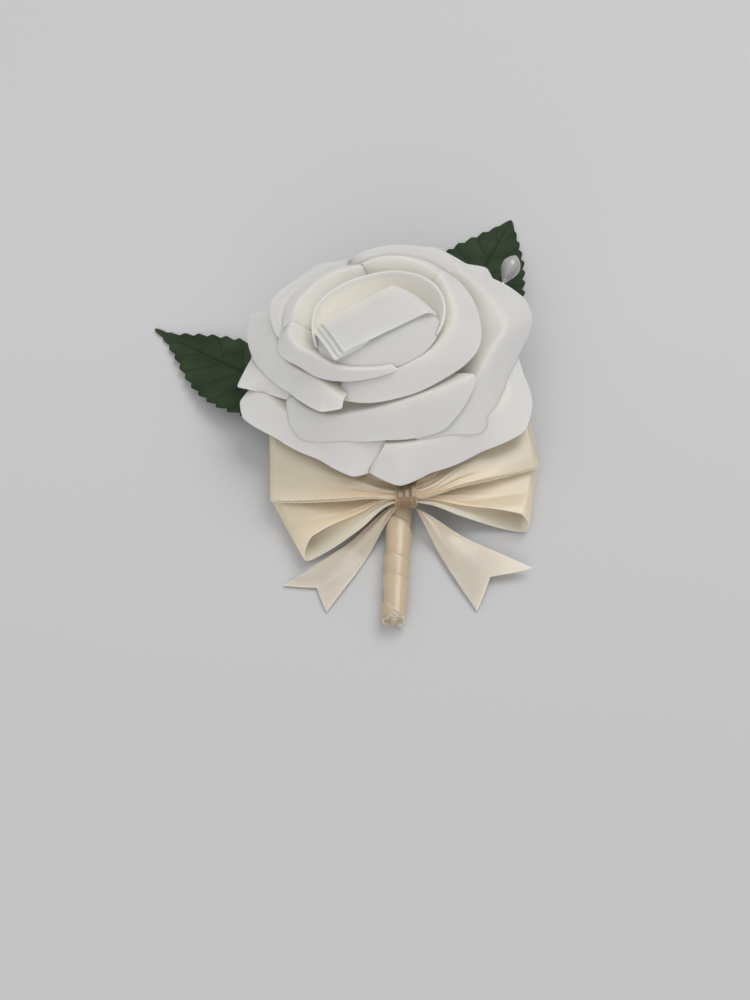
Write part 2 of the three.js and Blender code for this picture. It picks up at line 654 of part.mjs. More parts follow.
function pearl() {
  const profile = [];
  for (let i = 0; i <= 10; i++) {
    const t = i / 10;
    const r = PEARL_R * Math.sin(Math.PI * Math.pow(t, 1.4)) * (0.86 + 0.14 * t);
    profile.push([Math.max(0, i === 0 || i === 10 ? 0 : r), t * PEARL_L]);
  }
  const s = solid(turned(profile, 16));
  const bore = solid(new THREE.CylinderGeometry(PIN_R + 0.15, PIN_R + 0.15, 5.4, 12).rotateX(Math.PI / 2));
  return s.subtract(bore.translate([0, 0, 0.9]));
}

function alongPin(s, start) {
  const q = new THREE.Quaternion().setFromUnitVectors(new THREE.Vector3(0, 0, 1), PIN_DIR);
  const m = new THREE.Matrix4().compose(start, q, new THREE.Vector3(1, 1, 1));
  const g = geometryOf(s);
  g.applyMatrix4(m);
  return solid(g);
}

function pinShaft() {
  const len = PEARL_NECK.distanceTo(PIN_TO) + 3.4;
  const profile = [[0, 0], [PIN_R * 0.45, 1], [PIN_R, 2.6], [PIN_R, len], [0, len]];
  return alongPin(solid(turned(profile, 12)), PIN_TO.clone());
}

function pinBore() {
  const r = PIN_R + GAP;
  return solid(new THREE.CylinderGeometry(r, r, 30, 10).rotateX(Math.PI / 2)).translate([0, 0, 15]);
}

// ---- the parts put together ----
const group = new THREE.Group();
function add(name, geometry, color, roughness) {
  const g = geometry.isBufferGeometry ? geometry : geometryOf(geometry);
  g.computeVertexNormals();
  const mesh = new THREE.Mesh(g, new THREE.MeshStandardMaterial({ color, roughness }));
  mesh.name = name;
  group.add(mesh);
}

add("rose_bloom", bloom(), 0xe6e2d8, 0.8);
const calyx = solid(turned(CALYX, 24)).translate([BLOOM_AT[0], BLOOM_AT[1], 0]);
add("rose_calyx", calyx.subtract(stemRod(GAP)), 0x3c5a34, 0.6);
add("rose_stem", stemRod(0), 0x45663a, 0.6);
for (const name of Object.keys(LEAVES)) {
  add(name, solid(leafBlade(LEAVES[name])).add(solid(petiole(name, 0))), 0x2f3f2c, 0.75);
}

let wrap = solid(rod(WRAP_LINE, wrapRadius, 14, 31));
wrap = wrap.subtract(stemRod(GAP));
for (const name of Object.keys(LEAVES)) wrap = wrap.subtract(solid(petiole(name, GAP)));
wrap = wrap.subtract(alongPin(pinBore(), PIN_TO.clone().addScaledVector(PIN_DIR, -GAP)));
const mouth = solid(new THREE.CylinderGeometry(2.05, 2.05, 4.4, 16));
wrap = wrap.subtract(mouth.translate([1.32, WRAP_Y1, WRAP_R1 - FLAT_CUT]));
wrap = wrap.trimByPlane([0, 0, 1], 0);
add("stem_wrap", wrap, 0xcdb995, 0.5);

for (const name of Object.keys(LOOPS)) add(name, solid(loop(LOOPS[name])), 0xd8c8a8, 0.4);
for (const name of Object.keys(TAILS)) add(name, solid(tail(TAILS[name])), 0xd8c8a8, 0.4);
add("bow_knot", knotBand(), 0xd9c6ae, 0.4);
add("pin_shaft", pinShaft(), 0xb9b9bd, 0.3);
add("pin_pearl", alongPin(pearl(), PEARL_NECK.clone()), 0xe4e2da, 0.25);

const box = new THREE.Box3().setFromObject(group);
group.position.set(-(box.min.x + box.max.x) / 2, -(box.min.y + box.max.y) / 2, -box.min.z);
group.updateMatrixWorld(true);

export default group;
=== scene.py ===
# Foam rose boutonniere, lying face up with its wrapped stem towards the camera.
import math
import bpy
import bmesh
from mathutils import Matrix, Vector


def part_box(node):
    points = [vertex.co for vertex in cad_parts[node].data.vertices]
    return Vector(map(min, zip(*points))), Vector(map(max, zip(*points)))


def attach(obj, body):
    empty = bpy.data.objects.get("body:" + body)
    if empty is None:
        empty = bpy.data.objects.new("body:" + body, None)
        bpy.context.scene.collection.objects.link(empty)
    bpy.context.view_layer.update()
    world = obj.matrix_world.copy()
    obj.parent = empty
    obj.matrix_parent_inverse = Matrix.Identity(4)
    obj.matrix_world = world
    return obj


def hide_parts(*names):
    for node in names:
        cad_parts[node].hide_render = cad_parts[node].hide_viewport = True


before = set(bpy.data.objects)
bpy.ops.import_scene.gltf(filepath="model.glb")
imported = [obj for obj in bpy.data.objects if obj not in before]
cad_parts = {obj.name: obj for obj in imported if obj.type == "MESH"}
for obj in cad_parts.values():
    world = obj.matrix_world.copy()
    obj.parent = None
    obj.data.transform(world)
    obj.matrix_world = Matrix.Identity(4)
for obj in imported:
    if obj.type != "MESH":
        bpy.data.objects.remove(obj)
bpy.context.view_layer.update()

# Where the flower stands: the calyx sits on the bloom's axis, and every other size is measured in
# millimetres from a point close by that axis, on the table top.
MM = 0.001
calyx_low, calyx_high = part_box("rose_calyx")
AXIS = (-1.0, 3.0)
SHIFT = ((calyx_low[0] + calyx_high[0]) / 2 / MM - AXIS[0], (calyx_low[1] + calyx_high[1]) / 2 / MM - AXIS[1])


def spot(x, y, z):
    return Vector(((x + SHIFT[0]) * MM, (y + SHIFT[1]) * MM, z * MM))


# ---------------------------------------------------------------------------
# Camera: a 40 mm lens held about 30 cm away, looking down on the flower from the stem's side.
CAMERA_DOWN = math.radians(57)
CAMERA_FAR = 316.0
VIEW_RIGHT, VIEW_UP = -3.41, 25.6
lens = bpy.data.cameras.new("camera")
lens.lens = 40
lens.sensor_width = 36
lens.clip_start = 0.01
camera = bpy.data.objects.new("camera", lens)
bpy.context.collection.objects.link(camera)
camera.location = spot(
    VIEW_RIGHT,
    -CAMERA_FAR * math.cos(CAMERA_DOWN) - VIEW_UP * math.sin(CAMERA_DOWN),
    CAMERA_FAR * math.sin(CAMERA_DOWN) - VIEW_UP * math.cos(CAMERA_DOWN),
)
camera.rotation_euler = (math.pi / 2 - CAMERA_DOWN, 0, 0)
bpy.context.scene.camera = camera
bpy.context.scene.view_settings.view_transform = "Standard"

# ---------------------------------------------------------------------------
# Studio: a matt pale grey table and one broad soft light from behind on the right, with a pale room.
room = bpy.data.worlds.new("room")
room.use_nodes = True
room.node_tree.nodes["Background"].inputs["Color"].default_value = (0.97, 0.98, 1.0, 1)
room.node_tree.nodes["Background"].inputs["Strength"].default_value = 0.48
bpy.context.scene.world = room


def soft_light(name, place, size, power, colour=(1, 1, 1)):
    data = bpy.data.lights.new(name, "AREA")
    data.shape = "DISK"
    data.size = size
    data.energy = power
    data.color = colour
    lamp = bpy.data.objects.new(name, data)
    bpy.context.collection.objects.link(lamp)
    lamp.location = spot(*place)
    lamp.rotation_euler = (spot(0, 0, 0) - lamp.location).to_track_quat("-Z", "Y").to_euler()
    return lamp


soft_light("window", (600, 820, 1560), 1.4, 15.5, (1.0, 0.985, 0.965))
soft_light("front_card", (-250, -1500, 700), 1.6, 13.0)
soft_light("ceiling", (-300, -250, 1600), 1.0, 2.0)

table_mesh = bmesh.new()
bmesh.ops.create_grid(table_mesh, x_segments=2, y_segments=2, size=3.0)
table_data = bpy.data.meshes.new("table_top")
table_mesh.to_mesh(table_data)
table_mesh.free()
table_top = bpy.data.objects.new("table_top", table_data)
bpy.context.collection.objects.link(table_top)
card = bpy.data.materials.new("pale_card")
card.use_nodes = True
card_where = card.node_tree.nodes.new("ShaderNodeTexCoord")
card_split = card.node_tree.nodes.new("ShaderNodeSeparateXYZ")
card_range = card.node_tree.nodes.new("ShaderNodeMapRange")
card_range.inputs["From Min"].default_value = -0.11
card_range.inputs["From Max"].default_value = 0.03
# Painted shade: the table's grey is painted darker towards the front, standing in for the light falling off there.
card_falloff_shade = card.node_tree.nodes.new("ShaderNodeValToRGB")
card_falloff_shade.color_ramp.elements[0].color = (0.53, 0.53, 0.53, 1)
card_falloff_shade.color_ramp.elements[1].color = (0.575, 0.575, 0.58, 1)
card.node_tree.links.new(card_where.outputs["Object"], card_split.inputs[0])
card.node_tree.links.new(card_split.outputs["Y"], card_range.inputs["Value"])
card.node_tree.links.new(card_range.outputs["Result"], card_falloff_shade.inputs["Fac"])
card.node_tree.links.new(card_falloff_shade.outputs["Color"], card.node_tree.nodes["Principled BSDF"].inputs["Base Color"])
card.node_tree.nodes["Principled BSDF"].inputs["Roughness"].default_value = 0.9
card.node_tree.nodes["Principled BSDF"].inputs["Specular IOR Level"].default_value = 0.2
table_data.materials.append(card)

# ---------------------------------------------------------------------------
# Rose petals: sheets of soft white foam, cut wide with straight rims, creased back over a warm iron and
# glued by their narrow roots round a small foam core, layer over layer. Each petal rises from its root
# to its fold and falls from there to its rim; both lines are given as (degrees round the axis, radius, height).
FOAM = 0.65
# Painted shade: the foam is painted warm cream towards the petal roots, where the layers shade each other, and keeps
# its own white towards the rims.
FOAM_WARM_SHADE, FOAM_WHITE = (0.81, 0.77, 0.66, 1), (0.69, 0.675, 0.65, 1)
ROOT_TO_FOLD = 0.5
ROOT_R, ROOT_SPREAD, RISE = 8.0, 0.62, 22
CORNER = 0.85  # how straight the runs between a rim's corners stay
OUTER_PETALS = [
    dict(root=12, corners=True,
         fold=[(-172, 33, 15.6), (-164, 33.6, 16.4), (-154, 32, 16.5), (-139, 29.3, 16.5), (-120, 28.4, 17.2),
               (-101, 27.1, 18.2), (-90, 26.4, 18.6), (-81, 26, 18.6)],
         rim=[(-171, 35.5, 14.4), (-165, 40.4, 13.2), (-158, 41, 12.2), (-144, 36.1, 11.8), (-121, 33.5, 12.2),
              (-103, 35.7, 12.7), (-94, 33.2, 13.5), (-84, 29.4, 15.4)]),
    dict(root=13, corners=True,
         fold=[(-90, 28.8, 18.8), (-80, 29.4, 19.4), (-67, 29.8, 19.4), (-46, 31.2, 18.8), (-28, 34.2, 18),
               (-16, 34.6, 18), (-4, 32.6, 18), (10, 31.5, 18)],
         rim=[(-98, 33.6, 13.4), (-84, 38.5, 13.6), (-70, 35.8, 13.2), (-46, 37, 12.8), (-29, 42.9, 13.8),
              (-17, 41.8, 15), (-4, 38, 15.8), (12, 36.4, 15.8)]),
    dict(root=14, corners=True,
         fold=[(30, 32, 24.6), (40, 32.6, 25.2), (48, 33.4, 25.6), (57, 33.8, 25.8), (70, 34.5, 26), (82, 33, 26),
               (94, 30, 25.4), (106, 28, 24.4)],
         rim=[(32, 39, 19.4), (42, 42.4, 18.9), (49, 45.4, 18.5), (56, 42.9, 18.5), (71, 45.5, 18), (83, 41.5, 19),
              (94, 36, 20), (106, 33, 20.4)]),
    dict(root=15, corners=True,
         fold=[(96, 28.5, 26), (108, 30, 26.2), (119, 31, 26.2), (131, 30.5, 26), (144, 30, 25.6), (156, 31, 24.4),
               (165, 31, 23.4)],
         rim=[(97, 33.5, 21.4), (108, 35, 21.5), (119, 37.5, 21.5), (131, 36.3, 21.5), (144, 35.8, 21.5),
              (156, 38.5, 18.5), (166, 38, 17.6)]),
    dict(root=14, corners=True,
         fold=[(166, 31, 19), (177, 31, 18.8), (184, 31, 18.8), (190, 30.5, 18.6), (194, 29, 18.6),
               (201, 27.5, 18.6), (210, 25, 18.6)],
         rim=[(166, 38, 17.4), (177, 36.2, 16.8), (184, 38.2, 16.2), (190, 40.4, 15.4), (193, 37.1, 15.8),
              (199, 32.4, 16.6), (210, 27.2, 17.4)]),
]
ROLLED_PETALS = [
    dict(root=18, corners=True, crease=True,
         fold=[(-71, 25.1, 20.8), (-55, 24.9, 21.8), (-41, 26, 22.8), (-27, 26.4, 24.4), (-13, 27.4, 25.6),
               (-3, 29, 26.2), (9, 33, 26.6), (22, 31.8, 27.4), (36, 30.6, 28.6), (50, 30.4, 29.4)],
         rim=[(-74, 28.9, 19.8), (-56, 31, 18.9), (-42, 35.1, 17), (-22, 33.5, 17.2), (-4, 34.9, 17.2),
              (6, 37.6, 17.2), (21, 44.8, 17.6), (29, 45.8, 18.4), (37, 43.8, 19.6), (48, 37, 24)]),
    dict(root=24, corners=True,
         fold=[(-152, 27.7, 19), (-141, 27.3, 20), (-126, 26.1, 21.4), (-106, 23, 24), (-86, 21.7, 26.3),
               (-65, 21.6, 27.4), (-44, 23.6, 27.6), (-28, 26.3, 27.4)],
         rim=[(-153, 29, 17.6), (-142, 31.9, 15.4), (-132, 32.6, 14.2), (-111, 28.5, 17.6), (-90, 28, 19.7),
              (-72, 29, 20.2), (-58, 29.7, 20.5), (-28, 27.2, 26.2)]),
    dict(root=20, corners=True,
         fold=[(161, 32, 27), (172, 28.9, 26.2), (186, 28, 25.6), (198, 25.4, 25.4), (207, 23.4, 26),
               (218, 22.2, 27.2), (231, 22.8, 28.2), (244, 23.4, 28)],
         rim=[(158, 40.3, 19.5), (167, 38.9, 18.8), (180, 35.4, 18.4), (196, 30.4, 18.8), (207, 28.1, 20.2),
              (221, 27.8, 22.6), (234, 27.8, 24.4), (245, 25.4, 26.6)]),
    dict(root=22, fold=[(98, 27, 28.8), (113, 26.9, 28.8), (130, 27, 28.6), (144, 28.1, 28.6), (157, 29.4, 28.6),
                        (168, 28.2, 28.4), (182, 25.8, 28.4)],
         rim=[(98, 30, 27.5), (113, 30.4, 27.4), (130, 31.4, 27), (144, 32.6, 27), (157, 33.2, 27.4),
              (168, 31, 27.2), (180, 28, 27.2)]),
    dict(root=22, fold=[(24, 29, 25.8), (38, 29, 27), (52, 29.6, 28.2), (66, 30, 29.2), (82, 29.3, 29.6),
                        (98, 28, 29.5), (112, 26.2, 28.9)],
         rim=[(24, 30.4, 25.4), (38, 31.6, 26.2), (52, 33.6, 26.8), (66, 34.8, 27.6), (82, 34, 28), (98, 31.8, 28),
              (112, 28.6, 27.8)]),
]
INNER_PETALS = [
    dict(root=27, fold=[(178, 24.1, 32.4), (188, 24.7, 32.2), (199, 23, 32.2), (208, 21.1, 32.6), (220, 19.8, 33),
                        (237, 18.3, 33.4), (255, 16.4, 33.6), (279, 15, 33.8)],
         rim=[(176, 26.9, 28.6), (184, 27.9, 27.4), (192, 27.7, 26.9), (204, 24.1, 27.2), (219, 22.1, 27.9),
              (238, 19.8, 29.8), (257, 17.6, 31.4), (283, 15.7, 33)]),
    dict(root=27, fold=[(-128, 17.5, 27.6), (-110, 16.6, 30), (-94, 15.4, 31.4), (-63, 14.9, 32.9),
                        (-40, 15.8, 33.4), (-15, 16.9, 33.8), (5, 18.5, 34.2),
                        (21, 19, 34.8), (36, 20.2, 35.2), (48, 21.2, 35.4)],
         rim=[(-124, 22, 24.6), (-101, 21.6, 26.4), (-78, 20.8, 27.6), (-46, 21.2, 28.3), (-23, 23.8, 28.5),
              (-9, 25.4, 28.7), (10, 25.9, 29.4), (24, 26, 30.6), (38, 25.6, 32), (50, 23.8, 33.8)]),
    dict(root=27, fold=[(34, 20.6, 33.4), (48, 21.7, 33.8), (60, 22.2, 34.4), (74, 22.3, 34.8), (90, 21.9, 34.8),
                        (106, 20.8, 34.1)],
         rim=[(34, 23.6, 31.2), (48, 25.2, 31.4), (60, 25.9, 31.8), (74, 25.8, 32), (90, 25, 32),
              (106, 22.6, 32.4)]),
    dict(root=27, fold=[(90, 19.6, 32.8), (108, 20.6, 33.7), (126, 21.8, 33.6), (144, 22.8, 33.2), (162, 24, 32.4),
                        (182, 24, 31.3)],
         rim=[(90, 22.2, 30.6), (108, 23.8, 31.2), (126, 25.4, 31), (144, 26.6, 30.6), (162, 27, 30),
              (180, 26.6, 29.6)]),
]
CUP_PETALS = [
    dict(root=32, rise=60,
         fold=[(-22, 14.2, 34.4), (10, 15.4, 35.2), (42, 15.8, 35.6), (74, 14.6, 35.8), (106, 13.6, 35.6),
               (138, 14.9, 35), (170, 17.6, 34.2), (204, 19, 32.4)],
         rim=[(-22, 14.6, 35), (10, 16, 36.6), (42, 16.5, 37.2), (74, 15.2, 37.3), (106, 14.1, 37),
              (138, 15.5, 36.4), (170, 18.1, 35.5), (206, 19.3, 33)]),
    dict(root=34, fold=[(-168, 12, 35.4), (-140, 11.5, 36.1), (-106, 7.2, 36.8), (-54, 5.6, 37.6), (-15, 8.6, 38),
                        (8, 11, 37.4)],
         rim=[(-168, 18.6, 32.2), (-138, 19, 31.8), (-115, 17.4, 32), (-85, 15, 32.6), (-46, 14.4, 33),
              (-6, 14.8, 34.2)]),
]


def blend_to(a, b, t):
    return a + (b - a) * t


def held(x, low, high):
    return max(low, min(high, x))


def eased(t):
    t = held(t, 0.0, 1.0)
    return t * t * (3 - 2 * t)


def along(stations, u, corners=False):
    """The point at u, from -1 to 1, of a line through the stations: smooth, or straight with soft corners."""
    last = len(stations) - 1
    s = held((u + 1) / 2 * last, 0, last)
    i = min(last - 1, int(s))
    t = s - i
    found = []
    for k in range(len(stations[0])):
        b, c = stations[i][k], stations[i + 1][k]
        a = stations[i - 1][k] if i else 2 * b - c
        d = stations[i + 2][k] if i + 2 <= last else 2 * c - b
        smooth = 0.5 * (2 * b + (c - a) * t + (2 * a - 5 * b + 4 * c - d) * t * t + (3 * b - a - 3 * c + d) * t ** 3)
        found.append(blend_to(smooth, blend_to(b, c, t), CORNER) if corners else smooth)
    return found


def curl(p, m, q, n, t):
    a, b, c, d = 2 * t ** 3 - 3 * t * t + 1, t ** 3 - 2 * t * t + t, 3 * t * t - 2 * t ** 3, t ** 3 - t * t
    return [a * p[k] + b * m[k] + c * q[k] + d * n[k] for k in range(len(p))]


def petal_point(p, u, v):
    fold = along(p["fold"], u, p.get("crease", False))
    middle = (p["fold"][0][0] + p["fold"][-1][0]) / 2
    root = (middle + (fold[0] - middle) * ROOT_SPREAD, ROOT_R, p["root"] + 0.6 * u)
    rise = math.radians(p.get("rise", RISE))
    reach = math.hypot(fold[1] - root[1], fold[2] - root[2])
    up = (0, reach * math.cos(rise), reach * math.sin(rise))
    if v < ROOT_TO_FOLD:
        a, r, z = curl(root, (fold[0] - root[0], 0.8 * reach, 0.3 * (fold[2] - root[2])), fold, up, v / ROOT_TO_FOLD)
    else:
        rim = along(p["rim"], u, p.get("corners", False))
        lip = math.hypot(rim[1] - fold[1], rim[2] - fold[2])
        run = [rim[k] - fold[k] for k in range(3)]
        away = (run[0], 0.7 * run[1] + 0.35 * lip * math.cos(rise * 0.5), 0.75 * run[2])
        a, r, z = curl(fold, away, rim, (run[0], run[1], 1.1 * run[2]), (v - ROOT_TO_FOLD) / (1 - ROOT_TO_FOLD))
    return AXIS[0] + r * math.cos(math.radians(a)), AXIS[1] + r * math.sin(math.radians(a)), z


def strip(mesh, across, length, place):
    """A grid laid out by place(u, v), u from -1 to 1 and v from 0 to 1, with its own UVs."""
    if "UVMap" not in mesh.loops.layers.uv:
        mesh.loops.layers.uv.new("UVMap")
    made = bmesh.ops.create_grid(mesh, x_segments=across, y_segments=length, size=1.0, calc_uvs=True)["verts"]
    for vert in made:
        vert.co = spot(*place(vert.co.x, (vert.co.y + 1) / 2))
    return made


def piece_from(mesh, name, thickness=0.0, smooth_levels=0, tidy=True):
    if tidy:
        bmesh.ops.recalc_face_normals(mesh, faces=mesh.faces)
    for face in mesh.faces:
        face.smooth = True
    data = bpy.data.meshes.new(name)
    mesh.to_mesh(data)
    mesh.free()
    made = bpy.data.objects.new(name, data)
    bpy.context.collection.objects.link(made)
    if thickness:
        wall = made.modifiers.new("wall", "SOLIDIFY")
        wall.thickness = thickness * MM
        wall.offset = 0
    if smooth_levels:
        soft = made.modifiers.new("soft", "SUBSURF")
        soft.levels = soft.render_levels = smooth_levels
    return made


def foam_material():
    mat = bpy.data.materials.new("petal_foam")
    mat.use_nodes = True
    tree = mat.node_tree
    shader = tree.nodes["Principled BSDF"]
    shader.inputs["Roughness"].default_value = 0.75
    shader.inputs["Specular IOR Level"].default_value = 0.25
    shader.inputs["Sheen Weight"].default_value = 0.15
    shader.inputs["Sheen Roughness"].default_value = 0.6
    shader.inputs["Subsurface Weight"].default_value = 0.6
    shader.inputs["Subsurface Radius"].default_value = (1.0, 1.0, 0.97)
    shader.inputs["Subsurface Scale"].default_value = 0.004
    uv = tree.nodes.new("ShaderNodeUVMap")
    uv.uv_map = "UVMap"
    split = tree.nodes.new("ShaderNodeSeparateXYZ")
    tree.links.new(uv.outputs["UV"], split.inputs[0])
    # painted shade: warm cream at low V, near the roots and deep between the layers, fading to the foam's own white by
    # the rims
    ramp = tree.nodes.new("ShaderNodeValToRGB")
    ramp.color_ramp.elements[0].position = 0.38
    ramp.color_ramp.elements[0].color = FOAM_WARM_SHADE
    ramp.color_ramp.elements[1].position = 0.6
    ramp.color_ramp.elements[1].color = FOAM_WHITE
    tree.links.new(split.outputs["Y"], ramp.inputs["Fac"])
    where = tree.nodes.new("ShaderNodeTexCoord")
    pores = tree.nodes.new("ShaderNodeTexNoise")
    pores.inputs["Scale"].default_value = 2600
    pores.inputs["Detail"].default_value = 3
    creases = tree.nodes.new("ShaderNodeTexNoise")
    creases.inputs["Scale"].default_value = 90
    creases.inputs["Detail"].default_value = 2
    tree.links.new(where.outputs["Object"], pores.inputs["Vector"])
    tree.links.new(where.outputs["Object"], creases.inputs["Vector"])
    tone = tree.nodes.new("ShaderNodeMix")
    tone.data_type = "RGBA"
    tone.blend_type = "MULTIPLY"
    tone.inputs["Factor"].default_value = 0.05
    tree.links.new(ramp.outputs["Color"], tone.inputs["A"])
    tree.links.new(creases.outputs["Fac"], tone.inputs["B"])
    tree.links.new(tone.outputs["Result"], shader.inputs["Base Color"])
    fine = tree.nodes.new("ShaderNodeBump")
    fine.inputs["Strength"].default_value = 0.12
    fine.inputs["Distance"].default_value = 0.0001
    tree.links.new(pores.outputs["Fac"], fine.inputs["Height"])
    broad = tree.nodes.new("ShaderNodeBump")
    broad.inputs["Strength"].default_value = 0.25
    broad.inputs["Distance"].default_value = 0.0008
    tree.links.new(creases.outputs["Fac"], broad.inputs["Height"])
    tree.links.new(fine.outputs["Normal"], broad.inputs["Normal"])
    tree.links.new(broad.outputs["Normal"], shader.inputs["Normal"])
    return mat


petal_foam = foam_material()


def petal_layer(name, petals):
    mesh = bmesh.new()
    for p in petals:
        spans = len(p["rim"]) - 1
        strip(mesh, spans * round(36 / spans), 26, lambda u, v: petal_point(p, u, v))
    layer = piece_from(mesh, name, FOAM, 1, tidy=False)
    layer.data.materials.append(petal_foam)
    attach(layer, "root")
    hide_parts("rose_bloom")
    return layer


outer_petals = petal_layer("outer_petals", OUTER_PETALS)
rolled_petals = petal_layer("rolled_petals", ROLLED_PETALS)
inner_petals = petal_layer("inner_petals", INNER_PETALS)
cup_petals = petal_layer("cup_petals", CUP_PETALS)

# ---------------------------------------------------------------------------
# Bud: a small foam core with one petal folded across its top, its near edge free, glued in first.
CORE_LINE = [(0, 7.75), (3, 7.75), (6.4, 8.4), (8.2, 10.2), (9.6, 14), (10.6, 20), (11, 26), (10.8, 30), (9.6, 33),
             (6.5, 34.6), (3, 35.2), (0, 35.4)]
FLAP_NEAR_RIGHT, FLAP_NEAR_LEFT = (10.2, -2.4, 38.6), (-10.4, -13.4, 36.8)
FLAP_FAR_RIGHT, FLAP_FAR_LEFT = (1.2, 5.2, 39.4), (-16.2, -3.6, 36.6)
ROLL_TURNS, ROLL_R, ROLL_TOP = 1.8, 10.6, 35.8
ROLL_HALF, ROLL_SUNK = 1.5, 6  # half the rolled strip's height, and how far its outer end is tucked down


def flap_point(u, v):
    run = (u + 1) / 2 * 1.25
    s, past = min(1.0, run), max(0.0, run - 1) / 0.25
    w, dive = min(1.0, v / 0.6), max(0.0, (v - 0.6) / 0.4)
    near = [blend_to(a, b, s) for a, b in zip(FLAP_NEAR_LEFT, FLAP_NEAR_RIGHT)]
    far = [blend_to(a, b, s) for a, b in zip(FLAP_FAR_LEFT, FLAP_FAR_RIGHT)]
    x, y, z = [blend_to(a, b, w) for a, b in zip(near, far)]
    z += 2.2 * math.sin(math.pi * (0.08 + 0.72 * w)) * (0.4 + 0.6 * s)
    x += 1.2 * math.sin(math.pi * dive * 0.5) + 3 * dive * (1 - s) + 3.6 * past
    y += 1.6 * math.sin(math.pi * dive * 0.5) + 2.6 * past
    z -= 8 * dive * dive + 1.5 * dive + 3.4 * past * past + 0.4 * past
    return AXIS[0] + x, AXIS[1] + y, z


def under_flap(u, v, layer):
    x, y, z = flap_point(u * 0.3 - 0.7, v)
    return x - 1.1 * layer, y - 0.5 * layer, z - 1.0 * layer


def rolled_middle(u, v):
    a = math.radians(150 + ROLL_TURNS * 360 * v)
    r = blend_to(ROLL_R, 2.6, v)
    sunk = ROLL_SUNK * (1 - eased(v * 9))
    z = ROLL_TOP - ROLL_HALF + ROLL_HALF * u + 0.3 * math.sin(3 * a) - sunk
    return AXIS[0] + r * math.cos(a), AXIS[1] + r * math.sin(a), z


bud_mesh = bmesh.new()
# V runs backwards here, so the foam's painted warm shade falls on the flap's far side, where it dips into the bud
strip(bud_mesh, 40, 28, lambda u, v: flap_point(u, 1 - v))
for layer in (1, 2):
    strip(bud_mesh, 12, 28, lambda u, v: under_flap(u, 1 - v, layer))
strip(bud_mesh, 6, 110, rolled_middle)
bud_flap = piece_from(bud_mesh, "bud_flap", FOAM, 1, tidy=False)
bud_flap.data.materials.append(petal_foam)
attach(bud_flap, "root")
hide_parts("rose_bloom")

core_mesh = bmesh.new()
core_verts = [core_mesh.verts.new(spot(AXIS[0] + r, AXIS[1], z)) for r, z in CORE_LINE]
core_edges = [core_mesh.edges.new(pair) for pair in zip(core_verts, core_verts[1:])]
bmesh.ops.spin(core_mesh, geom=core_verts + core_edges, cent=spot(AXIS[0], AXIS[1], 0), axis=(0, 0, 1),
               angle=math.tau, steps=48, use_merge=True)
bmesh.ops.remove_doubles(core_mesh, verts=core_mesh.verts, dist=1e-6)
# V runs up the core, so its foot gets the foam's painted warm shade
core_uvs = core_mesh.loops.layers.uv.new("UVMap")
for face in core_mesh.faces:
    for corner in face.loops:
        corner[core_uvs].uv = (0.5, corner.vert.co.z / (CORE_LINE[-1][1] * MM))
foam_core = piece_from(core_mesh, "foam_core")
foam_core.data.materials.append(petal_foam)
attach(foam_core, "root")
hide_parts("rose_bloom")

# ---------------------------------------------------------------------------
# Calyx and stem: a green moulded plastic cup under the bloom, and a plastic-covered wire that is pushed
# up into the core and bent forward along the table.
def plastic_material(name, colour, roughness):
    mat = bpy.data.materials.new(name)
    mat.use_nodes = True
    tree = mat.node_tree
    shader = tree.nodes["Principled BSDF"]
    where = tree.nodes.new("ShaderNodeTexCoord")
    mottle = tree.nodes.new("ShaderNodeTexNoise")
    mottle.inputs["Scale"].default_value = 400
    tree.links.new(where.outputs["Object"], mottle.inputs["Vector"])
    spread = tree.nodes.new("ShaderNodeMapRange")
    spread.inputs["To Min"].default_value = roughness - 0.12
    spread.inputs["To Max"].default_value = roughness + 0.12
    tree.links.new(mottle.outputs["Fac"], spread.inputs["Value"])
    tree.links.new(spread.outputs["Result"], shader.inputs["Roughness"])
    tint = tree.nodes.new("ShaderNodeValToRGB")
    tint.color_ramp.elements[0].color = (*[c * 0.75 for c in colour], 1)
    tint.color_ramp.elements[1].color = (*[c * 1.25 for c in colour], 1)
    tree.links.new(mottle.outputs["Fac"], tint.inputs["Fac"])
    tree.links.new(tint.outputs["Color"], shader.inputs["Base Color"])
    bump = tree.nodes.new("ShaderNodeBump")
    bump.inputs["Strength"].default_value = 0.2
    bump.inputs["Distance"].default_value = 0.0001
    tree.links.new(mottle.outputs["Fac"], bump.inputs["Height"])
    tree.links.new(bump.outputs["Normal"], shader.inputs["Normal"])
    return mat


green_plastic = plastic_material("green_plastic", (0.07, 0.13, 0.05), 0.5)
for node in ("rose_calyx", "rose_stem"):
    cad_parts[node].data.materials.clear()
    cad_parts[node].data.materials.append(green_plastic)

# ---------------------------------------------------------------------------
# Leaves: dark green woven fabric, cut with toothed edges, pressed with veins and glued on thin wires
# that run back into the stem's wrapping.
LEAF = 0.5
TEETH = 15
TOOTH = 1.15
VEINS, VEIN_SLANT = 8.0, 1.05
LEAF_DARK, LEAF_LIGHT = (0.015, 0.030, 0.011, 1), (0.036, 0.060, 0.026, 1)
VEIN_DARK, SPINE_DARK = (0.010, 0.020, 0.009, 1), (0.008, 0.016, 0.007, 1)
LEAVES = {
    "leaf_left": dict(tip=(-69.8, 30.5), to=(-10, -11), length=60, lift=5.2, fold=0.05, cup=1.4,
                      cut=(0.0269, 0.060), area=0.000963,
                      side_a=(0.3, 1.2, 3.8, 6.3, 8.5, 10, 10.7, 10.4, 8.8, 5.5, 0.8),
                      side_b=(0.3, 1.7, 4.4, 7.8, 10.8, 12.8, 13.9, 13.6, 11.6, 7, 0.8)),
    "leaf_right": dict(tip=(40.7, 77), to=(6, -2), length=64, lift=4.6, fold=0.05, cup=1.2, cut=(0.0318, 0.064),
                       area=0.001262,
                       side_a=(0.4, 3.7, 6.9, 10.1, 12.4, 14.4, 14.8, 13.4, 10.4, 6, 0.8),
                       side_b=(0.4, 3.6, 7, 10.8, 13.2, 14.4, 14.8, 13.4, 10.4, 6, 0.8)),
}
